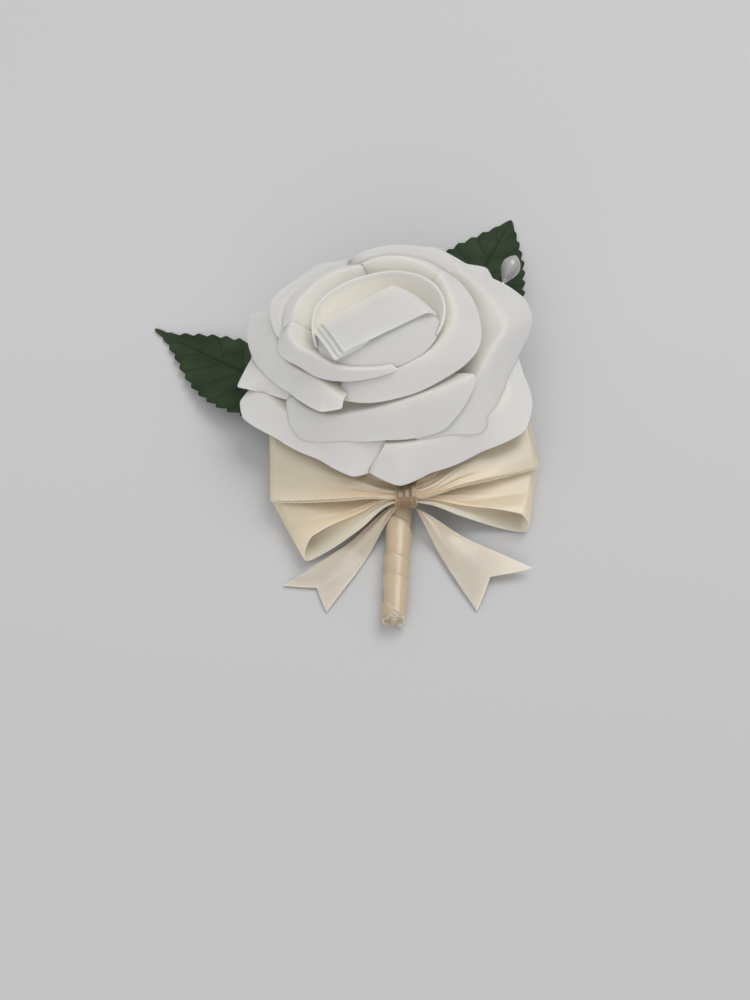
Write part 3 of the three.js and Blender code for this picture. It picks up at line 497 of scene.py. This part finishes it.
LEAF_WIRES = {
    "leaf_left": [(-27, 2.6, 4.9), (-19.6, -1.9, 5.6), (-11, -6.6, 5.2), (-3.7, -11.6, 4.2), (-0.15, -16, 3.6),
                  (0.25, -20, 3.5), (0.7, -25, 3.45)],
    "leaf_right": [(17.5, 23.6, 4.6), (14.2, 16.2, 5.2), (10.2, 6, 5.0), (7.2, -4, 4.3), (5.4, -13, 3.7),
                   (4.85, -20, 3.5), (5.05, -25, 3.45)],
}


def leaf_point(leaf, u, v):
    dx, dy = leaf["to"][0] - leaf["tip"][0], leaf["to"][1] - leaf["tip"][1]
    far = math.hypot(dx, dy)
    d, n = (dx / far, dy / far), (-dy / far, dx / far)
    t = v
    f = (t * TEETH) % 1.0
    bite = f / 0.22 if f < 0.22 else 1 - (f - 0.22) / 0.78
    body = math.sin(math.pi * t ** 1.08) ** 1.45 if 0 < t < 1 else 0.0
    side = along([(half,) for half in leaf["side_b" if u < 0 else "side_a"]], 2 * t - 1)[0]
    w = side + TOOTH * bite * min(1, 6 * t, 8 * (1 - t)) * abs(u) ** 3
    a = 1 + t * (leaf["length"] - 1)
    b = math.copysign(abs(u) ** 0.9, u) * w
    wave = 0.7 * math.sin(t * 9 + (1.2 if u < 0 else 0)) * u * u * body * eased(t * 3)
    rib = 0.35 * math.exp(-(b / 0.7) ** 2) * min(1, 8 * t)
    side_vein = (t * VEINS + abs(u) * VEIN_SLANT) % 1.0
    pressed = 0.16 * math.exp(-((side_vein - 0.5) / 0.09) ** 2) * body * (1 - abs(u) ** 4)
    cupped = leaf["cup"] * body * u * u * 0.4
    z = 0.45 + leaf["lift"] * eased(t) + leaf["fold"] * abs(b) + wave + cupped + rib - pressed
    return leaf["tip"][0] + d[0] * a + n[0] * b, leaf["tip"][1] + d[1] * a + n[1] * b, z


def sums(tree, kind, a, b=None):
    """A math node of this kind; each of a and b is a number or another node's output."""
    node = tree.nodes.new("ShaderNodeMath")
    node.operation = kind
    for socket, value in zip(node.inputs, (a, b)):
        if hasattr(value, "is_linked"):
            tree.links.new(value, socket)
        elif value is not None:
            socket.default_value = value
    return node.outputs[0]


def tinted(tree, mask, under, over):
    """The colour under, turned into the colour over where the mask is 1."""
    node = tree.nodes.new("ShaderNodeMix")
    node.data_type = "RGBA"
    for label, value in (("Factor", mask), ("A", under), ("B", over)):
        if hasattr(value, "is_linked"):
            tree.links.new(value, node.inputs[label])
        else:
            node.inputs[label].default_value = value
    return node.outputs["Result"]


def leaf_material():
    mat = bpy.data.materials.new("leaf_fabric")
    mat.use_nodes = True
    tree = mat.node_tree
    shader = tree.nodes["Principled BSDF"]
    shader.inputs["Specular IOR Level"].default_value = 0.15
    shader.inputs["Sheen Weight"].default_value = 0.03
    uv = tree.nodes.new("ShaderNodeUVMap")
    uv.uv_map = "UVMap"
    weave = tree.nodes.new("ShaderNodeTexBrick")
    weave.inputs["Scale"].default_value = 1.0
    weave.inputs["Mortar Size"].default_value = 0.12
    weave.inputs["Brick Width"].default_value = 1.0
    weave.inputs["Row Height"].default_value = 0.5
    grid = tree.nodes.new("ShaderNodeMapping")
    grid.inputs["Scale"].default_value = (90, 90, 1)
    tree.links.new(uv.outputs["UV"], grid.inputs["Vector"])
    tree.links.new(grid.outputs["Vector"], weave.inputs["Vector"])
    where = tree.nodes.new("ShaderNodeTexCoord")
    dye = tree.nodes.new("ShaderNodeTexNoise")
    dye.inputs["Scale"].default_value = 160
    dye.inputs["Detail"].default_value = 4
    tree.links.new(where.outputs["Object"], dye.inputs["Vector"])
    tint = tree.nodes.new("ShaderNodeValToRGB")
    tint.color_ramp.elements[0].position = 0.3
    tint.color_ramp.elements[0].color = LEAF_DARK
    tint.color_ramp.elements[1].position = 0.75
    tint.color_ramp.elements[1].color = LEAF_LIGHT
    tree.links.new(dye.outputs["Fac"], tint.inputs["Fac"])
    split = tree.nodes.new("ShaderNodeSeparateXYZ")
    tree.links.new(uv.outputs["UV"], split.inputs[0])
    off = sums(tree, "MULTIPLY", sums(tree, "ABSOLUTE", sums(tree, "SUBTRACT", split.outputs["X"], 0.5)), 2)
    rib = sums(tree, "LESS_THAN", off, 0.035)
    run = sums(tree, "FRACT", sums(tree, "ADD", sums(tree, "MULTIPLY", split.outputs["Y"], VEINS),
                                   sums(tree, "MULTIPLY", off, VEIN_SLANT)))
    vein = sums(tree, "LESS_THAN", sums(tree, "ABSOLUTE", sums(tree, "SUBTRACT", run, 0.5)), 0.07)
    veined = tinted(tree, sums(tree, "MULTIPLY", vein, 0.45), tint.outputs["Color"], VEIN_DARK)
    spined = tinted(tree, sums(tree, "MULTIPLY", rib, 0.7), veined, SPINE_DARK)
    tree.links.new(spined, shader.inputs["Base Color"])
    rough = tree.nodes.new("ShaderNodeMapRange")
    rough.inputs["To Min"].default_value = 0.5
    rough.inputs["To Max"].default_value = 0.75
    tree.links.new(dye.outputs["Fac"], rough.inputs["Value"])
    tree.links.new(rough.outputs["Result"], shader.inputs["Roughness"])
    cloth = tree.nodes.new("ShaderNodeBump")
    cloth.inputs["Strength"].default_value = 0.25
    cloth.inputs["Distance"].default_value = 0.00008
    tree.links.new(weave.outputs["Fac"], cloth.inputs["Height"])
    tree.links.new(cloth.outputs["Normal"], shader.inputs["Normal"])
    return mat


leaf_fabric = leaf_material()


def rod_on(name, points, radius, sides=12):
    """A round wire through the points, with closed ends."""
    curve = bpy.data.curves.new(name, "CURVE")
    curve.dimensions = "3D"
    curve.bevel_depth = radius * MM
    curve.bevel_resolution = max(1, sides // 4 - 1)
    curve.use_fill_caps = True
    spline = curve.splines.new("NURBS")
    spline.points.add(len(points) - 1)
    for knot, p in zip(spline.points, points):
        knot.co = (*spot(*p), 1)
    spline.order_u = 4
    spline.use_endpoint_u = True
    spline.resolution_u = 8
    drawn = bpy.data.objects.new(name, curve)
    bpy.context.collection.objects.link(drawn)
    bpy.context.view_layer.update()
    data = bpy.data.meshes.new_from_object(drawn.evaluated_get(bpy.context.evaluated_depsgraph_get()))
    bpy.data.objects.remove(drawn)
    data.name = name
    mesh = bmesh.new()
    mesh.from_mesh(data)
    bmesh.ops.remove_doubles(mesh, verts=mesh.verts, dist=1e-6)
    bpy.data.meshes.remove(data)
    return mesh


for name, leaf in LEAVES.items():
    leaf_mesh = bmesh.new()
    strip(leaf_mesh, 20, TEETH * 10, lambda u, v: leaf_point(leaf, u, v))
    blade = piece_from(leaf_mesh, name + "_blade", LEAF, 0, tidy=False)
    blade.data.materials.append(leaf_fabric)
    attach(blade, "root")
    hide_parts(name)
    wire = piece_from(rod_on(name + "_wire", LEAF_WIRES[name], 0.55), name + "_wire")
    wire.data.materials.append(green_plastic)
    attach(wire, "root")
    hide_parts(name)

# ---------------------------------------------------------------------------
# Bow: cream satin ribbon with a fine picot edge, laid in two loops on each side and two tails with
# V-cut ends, gathered in the middle and held there by a short pleated band.
RIBBON = 0.3
KNOT = (4.6, -35.6)
PINCH = 1.45
TAIL_TOP = 7.25  # height of the tails where they leave the knot
LOOP_BEND = 0.35  # share of a loop's length before its end turns back
LOOP_FLARE = 5.6
PICOTS = 26  # stitches in one ribbon width along the edge
LOOP_RUN, TAIL_RUN = 4.2, 2.0  # lengths of a loop and a tail in ribbon widths
LOOPS = {
    "bow_left_upper_loop": dict(back=(-32, -12.5), front=(-30.7, -35.3), z0=11.16, z1=10.39, end=8.15, r=2.0,
                                mouth=0.2, tuck=0, lift=0, shut=0.8, side=-1, cut=(0.0231, 0.0784), area=0.000994),
    "bow_left_lower_loop": dict(back=(-31, -32.4), front=(-21.5, -51.1), z0=9.62, z1=8.85, end=2.9, r=2.35,
                                mouth=1.0, tuck=4.6, lift=1.0, shut=0, side=-1, cut=(0.0210, 0.0685), area=0.000692),
    "bow_right_upper_loop": dict(back=(38.2, -4.5), front=(40.2, -24.6), z0=11.16, z1=10.39, end=8.15, r=2.0,
                                 mouth=0.2, tuck=0, lift=0, shut=0.8, side=1, cut=(0.0205, 0.0832), area=0.000926),
    "bow_right_lower_loop": dict(back=(40.6, -21.6), front=(36.8, -41.4), z0=9.62, z1=8.85, end=2.9, r=2.35,
                                 mouth=0.9, tuck=2.8, lift=0, shut=0, side=1, cut=(0.0202, 0.0734), area=0.000739),
}
TAILS = {
    "bow_left_tail": dict(left=(-27.2, -57.1, 0.7), right=(-15.6, -64.8, 0.6), notch=4.4, start=(2.7, -36.6),
                          arch=0.3, cut=(0.0164, 0.0380), area=0.000233),
    "bow_right_tail": dict(left=(22.3, -64.6, 0.8), right=(37.5, -53.2, 2.8), notch=5.2, start=(5.9, -36.6),
                           arch=0.7, cut=(0.0217, 0.0361), area=0.000262),
}


def loop_point(l, u, v):
    inner = KNOT[0] + l["side"] * 1.2
    mid = ((l["back"][0] + l["front"][0]) / 2, (l["back"][1] + l["front"][1]) / 2)
    far = math.hypot(mid[0] - inner, mid[1] - KNOT[1])
    top = v < 0.5
    w = (v if top else 1 - v) / LOOP_BEND
    r = l["r"]
    k = (u + 1) / 2
    if w <= 1:
        s = w * (1 - r / far)
        low = blend_to(l["z1"], l["end"] - r, eased(w))
        z = blend_to(l["z0"], l["end"] + r, eased(1.5 * w)) if top else low
    else:
        a = (v - LOOP_BEND) / (1 - 2 * LOOP_BEND) * math.pi
        s = 1 - r / far + r / far * math.sin(a)
        low = l["end"] - r
        z = l["end"] + r * math.cos(a)
    z = low + (z - low) * (1 - l["shut"] * k * k * eased(w))
    out = (blend_to(l["back"][0], l["front"][0], k), blend_to(l["back"][1], l["front"][1], k))
    band = (inner, KNOT[1] - u * PINCH)
    open_ = blend_to(0.15, 1, eased((s - 0.03) / 0.38))
    y = blend_to(blend_to(KNOT[1], mid[1], s * s) - u * PINCH, blend_to(band[1], out[1], s), open_)
    y += l["shut"] * LOOP_FLARE * max(0, -u) * math.exp(-3 * s) * eased(s * 14 - 0.2)
    gape = math.sin(math.pi * min(1, w * 0.7)) * max(0, u) if top else 0
    lift = l["lift"] * held(s * 1.6 - 0.3, 0, 1) * k
    gathers = math.cos(u * math.pi * 2.5 + 0.4) + 0.5 * math.cos(u * math.pi * 5.3 + 1.1)
    ripple = 0.16 * math.sin(u * 3.1 + s * 5 + l["side"]) * eased(s * 2)
    pleat = 0.34 * gathers * math.exp(-s * 3.2) * eased(s * 9) + ripple
    return blend_to(band[0], out[0], s), y + l["tuck"] * gape, z + l["mouth"] * gape + lift + pleat


def tail_point(l, u, v):
    mid = ((l["left"][0] + l["right"][0]) / 2, (l["left"][1] + l["right"][1]) / 2)
    far = math.hypot(mid[0] - l["start"][0], mid[1] - l["start"][1])
    k = (u + 1) / 2
    s = v * (1 - l["notch"] / far * (1 - abs(u)))
    open_ = eased(0.12 + s * 1.35)
    x = blend_to(l["start"][0], blend_to(l["left"][0], l["right"][0], k), s)
    y = blend_to(l["start"][1] - u * PINCH * 0.5, blend_to(l["left"][1], l["right"][1], k),
                 s * blend_to(0.75, 1, open_))
    arch = l["arch"] * (1 - u * u) * math.sin(math.pi * s)
    z = blend_to(TAIL_TOP, blend_to(l["left"][2], l["right"][2], k), eased(s * 2.1)) + arch
    fold = 0.3 * math.cos(u * math.pi * 1.6 + 0.5) * math.exp(-s * 3) * eased(s * 8)
    return x, y, z + fold + 0.25 * (1 + math.sin(u * 2.2 + s * 6.5)) * math.sin(math.pi * s)


# Painted light on the satin: each pair runs from a painted shade, used near the knot where the ribbon is gathered, to
# a painted sheen, reached in pale streaks.
SATIN_SHADE, SATIN_SHEEN = (0.46, 0.295, 0.15, 1), (0.76, 0.61, 0.43, 1)
# Painted light: a brighter copy of the loop satin for the loops' insides, painted with the light that shines through
# the thin ribbon.
INSIDE_GLOW_SHADE, INSIDE_GLOW_SHEEN = (0.66, 0.46, 0.26, 1), (0.97, 0.80, 0.57, 1)
TAIL_SHADE, TAIL_SHEEN = (0.40, 0.26, 0.14, 1), (0.70, 0.58, 0.44, 1)
# Along the picot edge: painted shade between the stitches and painted highlights on the beads.
EDGE_SHADE, BEAD_HIGHLIGHT = (0.40, 0.31, 0.20, 1), (0.74, 0.70, 0.62, 1)


def satin_weave_and_sheen():
    """Node group for the ribbon: painted shade that darkens it near the gathers, painted sheen in pale streaks along
    it, the stitched edge with painted shade between painted bead highlights, and the height of both.
    """
    tree = bpy.data.node_groups.new("satin_weave_and_sheen", "ShaderNodeTree")
    for kind, label in (("Vector", "UV"), ("Float", "Run"), ("Float", "Patch"), ("Float", "First Fold"),
                        ("Float", "Last Fold"), ("Float", "Edge"), ("Color", "Deep"), ("Color", "Pale")):
        tree.interface.new_socket(label, in_out="INPUT", socket_type="NodeSocket" + kind)
    for kind, label in (("Color", "Colour"), ("Float", "Height")):
        tree.interface.new_socket(label, in_out="OUTPUT", socket_type="NodeSocket" + kind)
    given = tree.nodes.new("NodeGroupInput").outputs
    result = tree.nodes.new("NodeGroupOutput").inputs
    split = tree.nodes.new("ShaderNodeSeparateXYZ")
    tree.links.new(given["UV"], split.inputs[0])
    across, down = split.outputs["X"], split.outputs["Y"]

    edge = sums(tree, "ABSOLUTE", sums(tree, "SUBTRACT", across, 0.5))
    picot = sums(tree, "GREATER_THAN", edge, given["Edge"])
    turns = sums(tree, "MULTIPLY", sums(tree, "MULTIPLY", down, given["Run"]), PICOTS * math.tau)
    beads = sums(tree, "GREATER_THAN", sums(tree, "SINE", turns), -0.1)
    stitches = sums(tree, "MULTIPLY", picot, beads)

    patch = tree.nodes.new("ShaderNodeCombineXYZ")
    long_ = sums(tree, "MULTIPLY", sums(tree, "MULTIPLY", down, given["Run"]), 0.8)
    tree.links.new(sums(tree, "ADD", sums(tree, "MULTIPLY", across, 5.0), given["Patch"]), patch.inputs["X"])
    tree.links.new(sums(tree, "ADD", long_, given["Run"]), patch.inputs["Y"])
    slub_and_sheen = tree.nodes.new("ShaderNodeTexNoise")
    slub_and_sheen.inputs["Scale"].default_value = 1
    slub_and_sheen.inputs["Detail"].default_value = 2
    slub_and_sheen.inputs["Roughness"].default_value = 0.4
    tree.links.new(patch.outputs["Vector"], slub_and_sheen.inputs["Vector"])

    # painted shade: the colour darkens towards the two gathered folds of V, and noise streaks turn it pale as painted
    # sheen
    near = sums(tree, "MINIMUM", sums(tree, "ABSOLUTE", sums(tree, "SUBTRACT", down, given["First Fold"])),
                sums(tree, "ABSOLUTE", sums(tree, "SUBTRACT", down, given["Last Fold"])))
    reach = sums(tree, "MULTIPLY", sums(tree, "MULTIPLY", near, given["Run"]), 0.85)
    spread = sums(tree, "MULTIPLY", sums(tree, "MINIMUM", reach, 1.0), 0.42)
    sheen_streaks = sums(tree, "ADD", sums(tree, "MULTIPLY", slub_and_sheen.outputs["Fac"], 0.5), 0.25)
    sheen_and_shade = tree.nodes.new("ShaderNodeMapRange")
    sheen_and_shade.interpolation_type = "SMOOTHSTEP"
    sheen_and_shade.inputs["From Min"].default_value = 0.25
    sheen_and_shade.inputs["From Max"].default_value = 0.95
    tree.links.new(sums(tree, "ADD", sheen_streaks, spread), sheen_and_shade.inputs["Value"])
    cloth = tinted(tree, sheen_and_shade.outputs["Result"], given["Deep"], given["Pale"])
    # painted shade along the picot edge, with painted highlights on its beads
    edged = tinted(tree, sums(tree, "MULTIPLY", picot, 0.6), cloth, EDGE_SHADE)
    tree.links.new(tinted(tree, stitches, edged, BEAD_HIGHLIGHT), result["Colour"])
    tree.links.new(sums(tree, "ADD", sums(tree, "MULTIPLY", slub_and_sheen.outputs["Fac"], 0.3), stitches), result["Height"])
    return tree


weave_group = satin_weave_and_sheen()


def satin_material(name, run, deep, pale, folds=(0.0, 1.0), edge_at=0.476, glow=0.002):
    """Satin on a ribbon run times as long as wide, gathered at the two values of V in folds; deep is the painted shade
    near the gathers and pale the painted sheen of its streaks.
    """
    mat = bpy.data.materials.new(name)
    mat.use_nodes = True
    tree = mat.node_tree
    shader = tree.nodes["Principled BSDF"]
    shader.inputs["Roughness"].default_value = 0.3
    shader.inputs["Specular IOR Level"].default_value = 0.8
    shader.inputs["Sheen Weight"].default_value = 0.15
    shader.inputs["Sheen Roughness"].default_value = 0.35
    shader.inputs["Sheen Tint"].default_value = (1.0, 0.95, 0.86, 1)
    shader.inputs["Anisotropic"].default_value = 0.5
    shader.inputs["Subsurface Weight"].default_value = 1.0
    shader.inputs["Subsurface Radius"].default_value = (1.0, 0.98, 0.95)
    shader.inputs["Subsurface Scale"].default_value = glow
    uv = tree.nodes.new("ShaderNodeUVMap")
    uv.uv_map = "UVMap"
    weave = tree.nodes.new("ShaderNodeGroup")
    weave.node_tree = weave_group
    tree.links.new(uv.outputs["UV"], weave.inputs["UV"])
    for label, value in (("Run", run), ("Patch", len(name) * 1.7), ("First Fold", folds[0]), ("Last Fold", folds[1]),
                         ("Edge", edge_at), ("Deep", deep), ("Pale", pale)):
        weave.inputs[label].default_value = value
    tree.links.new(weave.outputs["Colour"], shader.inputs["Base Color"])
    bump = tree.nodes.new("ShaderNodeBump")
    bump.inputs["Strength"].default_value = 0.5
    bump.inputs["Distance"].default_value = 0.0002
    tree.links.new(weave.outputs["Height"], bump.inputs["Height"])
    tree.links.new(bump.outputs["Normal"], shader.inputs["Normal"])
    return mat


loop_satin = satin_material("loop_satin", LOOP_RUN, SATIN_SHADE, SATIN_SHEEN)
loop_back = satin_material("loop_back", LOOP_RUN, INSIDE_GLOW_SHADE, INSIDE_GLOW_SHEEN)
tail_satin = satin_material("tail_satin", TAIL_RUN, TAIL_SHADE, TAIL_SHEEN, folds=(0.0, 0.0))

for name, l in LOOPS.items():
    loop_mesh = bmesh.new()
    strip(loop_mesh, 24, 110, lambda u, v: loop_point(l, u, v))
    ribbon = piece_from(loop_mesh, name + "_ribbon", RIBBON, 1, tidy=False)
    ribbon.data.materials.append(loop_satin)
    ribbon.data.materials.append(loop_back)
    inside_first = l["side"] < 0  # a left loop is laid out from its inside, so its outer satin is on the other shell, and the brighter inside copy, painted with light shining through the ribbon, on the first
    for face in ribbon.data.polygons:
        face.material_index = 1 if inside_first else 0
    ribbon.modifiers["wall"].material_offset = -1 if inside_first else 1
    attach(ribbon, "root")
    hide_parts(name)
for name, l in TAILS.items():
    tail_mesh = bmesh.new()
    strip(tail_mesh, 24, 60, lambda u, v: tail_point(l, u, v))
    ribbon = piece_from(tail_mesh, name + "_ribbon", RIBBON, 1, tidy=False)
    ribbon.data.materials.append(tail_satin)
    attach(ribbon, "root")
    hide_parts(name)

# The knot: a short length of the same ribbon, folded into pleats round the bow's middle.
BAND_X, BAND_Y, BAND_Z, BAND_MIDDLE = 2.75, 3.05, 2.29, 10.01


def band_point(u, v):
    a = v * math.tau
    c, s = math.cos(a), math.sin(a)
    round_ = (abs(c) ** 4 + abs(s) ** 4) ** -0.25
    pleat = 1 + 0.045 * math.cos(u * math.pi * 3.1 + 0.5 * math.sin(a))
    waist = 1 - 0.05 * (1 - u * u)
    return (KNOT[0] + u * BAND_X * (1 + 0.06 * math.sin(2 * a + 1)),
            KNOT[1] + c * round_ * (BAND_Y - RIBBON) * pleat * waist,
            BAND_MIDDLE + s * round_ * (BAND_Z - RIBBON) * pleat * waist)


knot_mesh = bmesh.new()
strip(knot_mesh, 40, 72, band_point)
bmesh.ops.remove_doubles(knot_mesh, verts=knot_mesh.verts, dist=1e-6)
knot = piece_from(knot_mesh, "knot_band", RIBBON, 1, tidy=True)
# Painted shade: the knot's satin is painted much darker, as the shade of the bloom that hangs over it.
knot.data.materials.append(satin_material("knot_satin", 0.7, (0.19, 0.11, 0.055, 1), (0.31, 0.205, 0.12, 1)))
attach(knot, "root")
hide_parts("bow_knot")

# ---------------------------------------------------------------------------
# Stem wrapping: satin ribbon wound round the stem in overlapping turns and glued, cut straight across
# at the end, where the hollow between the wires shows.
WRAP_FROM, WRAP_TO = -13.0, -68.6
WRAP_TURNS = 6.9
STEP, OVERLAP = 0.5, 0.08  # the height of a turn's edge, and the share of a turn over which it rises
FRAYED_FROM = 0.985
STEM_LINE = [(-13, 1.7), (-20, 2.6), (-30, 2.9), (-38, 2.9), (-48, 2.4), (-58, 1.9), (-68.6, 1.3)]
WRAP_RINGS = [(0.0, 0.02), (0.0, 0.6), (0.0, 0.93)] + [(i / 200, 1.0) for i in range(1, 200)] + [
    (0.9985, 0.985), (1.0, 0.95), (1.0, 0.9), (0.9985, 0.84), (0.99, 0.72), (0.975, 0.66), (0.966, 0.5), (0.964, 0.02)]


def stem_x(y):
    for (y0, x0), (y1, x1) in zip(STEM_LINE, STEM_LINE[1:]):
        if y >= y1:
            return blend_to(x0, x1, eased((y - y0) / (y1 - y0)) * 0.25 + 0.75 * (y - y0) / (y1 - y0))
    return STEM_LINE[-1][1]


def wound(t, angle):
    return t * WRAP_TURNS + 0.2 * math.sin(t * 17) + angle / math.tau


def wrap_point(u, v):
    t, part = WRAP_RINGS[min(len(WRAP_RINGS) - 1, round(v * (len(WRAP_RINGS) - 1)))]
    y = blend_to(WRAP_FROM, WRAP_TO, t)
    plain = blend_to(3.7, 2.95, t)
    angle = u * math.pi
    turn = wound(t, angle) % 1.0
    step = STEP * (turn / OVERLAP if turn < OVERLAP else 1 - (turn - OVERLAP) / (1 - OVERLAP)) - 0.2
    crease = 0.05 * math.sin(angle * 3 + t * 40) * math.sin(t * 23 + 1) ** 2
    r = (plain + (step + crease) * min(1, part * part)) * part
    if t > FRAYED_FROM:
        y += 0.35 * math.sin(angle * 5 + 1) * math.sin(angle * 3)
        r += 0.16 * math.sin(angle * 9 + part * 7)
    x, z = stem_x(y) + r * math.sin(angle), plain - 0.16 - r * math.cos(angle)
    return x, y, max(0.02, z)


wrap_mesh = bmesh.new()
strip(wrap_mesh, 72, len(WRAP_RINGS) - 1, wrap_point)
ribbon_uvs = wrap_mesh.loops.layers.uv["UVMap"]
for face in wrap_mesh.faces:
    first = None
    for corner in face.loops:
        across, down = corner[ribbon_uvs].uv
        turns = wound(WRAP_RINGS[round(down * (len(WRAP_RINGS) - 1))][0], (across * 2 - 1) * math.pi)
        first = math.floor(turns) if first is None else first
        corner[ribbon_uvs].uv = (turns - first, (first + 0.5 - across) / WRAP_TURNS)
bmesh.ops.remove_doubles(wrap_mesh, verts=wrap_mesh.verts, dist=1e-6)
wrap = piece_from(wrap_mesh, "stem_wrapping")
# Both satins here get the group's painted sheen streaks, and painted shade that darkens them towards both ends of the
# wound run.
wrap.data.materials.append(satin_material("wrap_satin", 9.0, (0.40, 0.30, 0.18, 1), (0.58, 0.475, 0.33, 1),
                                          edge_at=0.482, glow=0.0005))
wrap.data.materials.append(satin_material("frayed_satin", 3.0, (0.30, 0.25, 0.19, 1), (0.56, 0.52, 0.44, 1)))
for face in wrap.data.polygons:
    face.material_index = 1 if face.center.y < spot(0, WRAP_TO + 0.9, 0).y else 0
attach(wrap, "root")
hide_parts("stem_wrap")

# ---------------------------------------------------------------------------
# Corsage pin: a steel pin with a pear-shaped pearl head, pushed slantwise down through the bloom.
steel = bpy.data.materials.new("pin_steel")
steel.use_nodes = True
steel_shader = steel.node_tree.nodes["Principled BSDF"]
steel_shader.inputs["Base Color"].default_value = (0.62, 0.61, 0.6, 1)
steel_shader.inputs["Metallic"].default_value = 1.0
steel_where = steel.node_tree.nodes.new("ShaderNodeTexCoord")
steel_scuff = steel.node_tree.nodes.new("ShaderNodeTexNoise")
steel_scuff.inputs["Scale"].default_value = 1500
steel_rough = steel.node_tree.nodes.new("ShaderNodeMapRange")
steel_rough.inputs["To Min"].default_value = 0.18
steel_rough.inputs["To Max"].default_value = 0.4
steel.node_tree.links.new(steel_where.outputs["Object"], steel_scuff.inputs["Vector"])
steel.node_tree.links.new(steel_scuff.outputs["Fac"], steel_rough.inputs["Value"])
steel.node_tree.links.new(steel_rough.outputs["Result"], steel_shader.inputs["Roughness"])
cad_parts["pin_shaft"].data.materials.clear()
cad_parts["pin_shaft"].data.materials.append(steel)

PEARL_NECK, PIN_TO = Vector((33.3, 33.6, 14.6)), Vector((4.85, -32.6, 4.8))
PEARL_R, PEARL_LONG, PEARL_RINGS = 2.95, 12.2, 32
pearl_turn = (PEARL_NECK - PIN_TO).to_track_quat("Z", "Y")
pearl_mesh = bmesh.new()
pearl_line = []
for i in range(PEARL_RINGS + 1):
    t = i / PEARL_RINGS
    r = PEARL_R * math.sin(math.pi * t ** 1.4) * (0.86 + 0.14 * t) if 0 < i < PEARL_RINGS else 0.0
    pearl_line.append(pearl_mesh.verts.new((max(r, 0.0), 0, PEARL_LONG * t)))
pearl_edges = [pearl_mesh.edges.new(pair) for pair in zip(pearl_line, pearl_line[1:])]
bmesh.ops.spin(pearl_mesh, geom=pearl_line + pearl_edges, cent=(0, 0, 0), axis=(0, 0, 1), angle=math.tau,
               steps=48, use_merge=True)
bmesh.ops.remove_doubles(pearl_mesh, verts=pearl_mesh.verts, dist=1e-4)
for vert in pearl_mesh.verts:
    vert.co = spot(*(PEARL_NECK + pearl_turn @ vert.co))
pearl = piece_from(pearl_mesh, "pearl_head")
nacre = bpy.data.materials.new("pearl_lacquer")
nacre.use_nodes = True
nacre_shader = nacre.node_tree.nodes["Principled BSDF"]
nacre_shader.inputs["Roughness"].default_value = 0.3
nacre_shader.inputs["Specular IOR Level"].default_value = 0.6
nacre_shader.inputs["Coat Weight"].default_value = 0.7
nacre_shader.inputs["Coat Roughness"].default_value = 0.1
nacre_where = nacre.node_tree.nodes.new("ShaderNodeTexCoord")
nacre_cloud = nacre.node_tree.nodes.new("ShaderNodeTexNoise")
nacre_cloud.inputs["Scale"].default_value = 350
nacre_tint = nacre.node_tree.nodes.new("ShaderNodeValToRGB")
nacre_tint.color_ramp.elements[0].position = 0.35
nacre_tint.color_ramp.elements[0].color = (0.26, 0.255, 0.245, 1)
nacre_tint.color_ramp.elements[1].position = 0.65
nacre_tint.color_ramp.elements[1].color = (0.40, 0.395, 0.39, 1)
nacre.node_tree.links.new(nacre_where.outputs["Object"], nacre_cloud.inputs["Vector"])
nacre.node_tree.links.new(nacre_cloud.outputs["Fac"], nacre_tint.inputs["Fac"])
nacre.node_tree.links.new(nacre_tint.outputs["Color"], nacre_shader.inputs["Base Color"])
pearl.data.materials.append(nacre)
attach(pearl, "root")
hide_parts("pin_pearl")
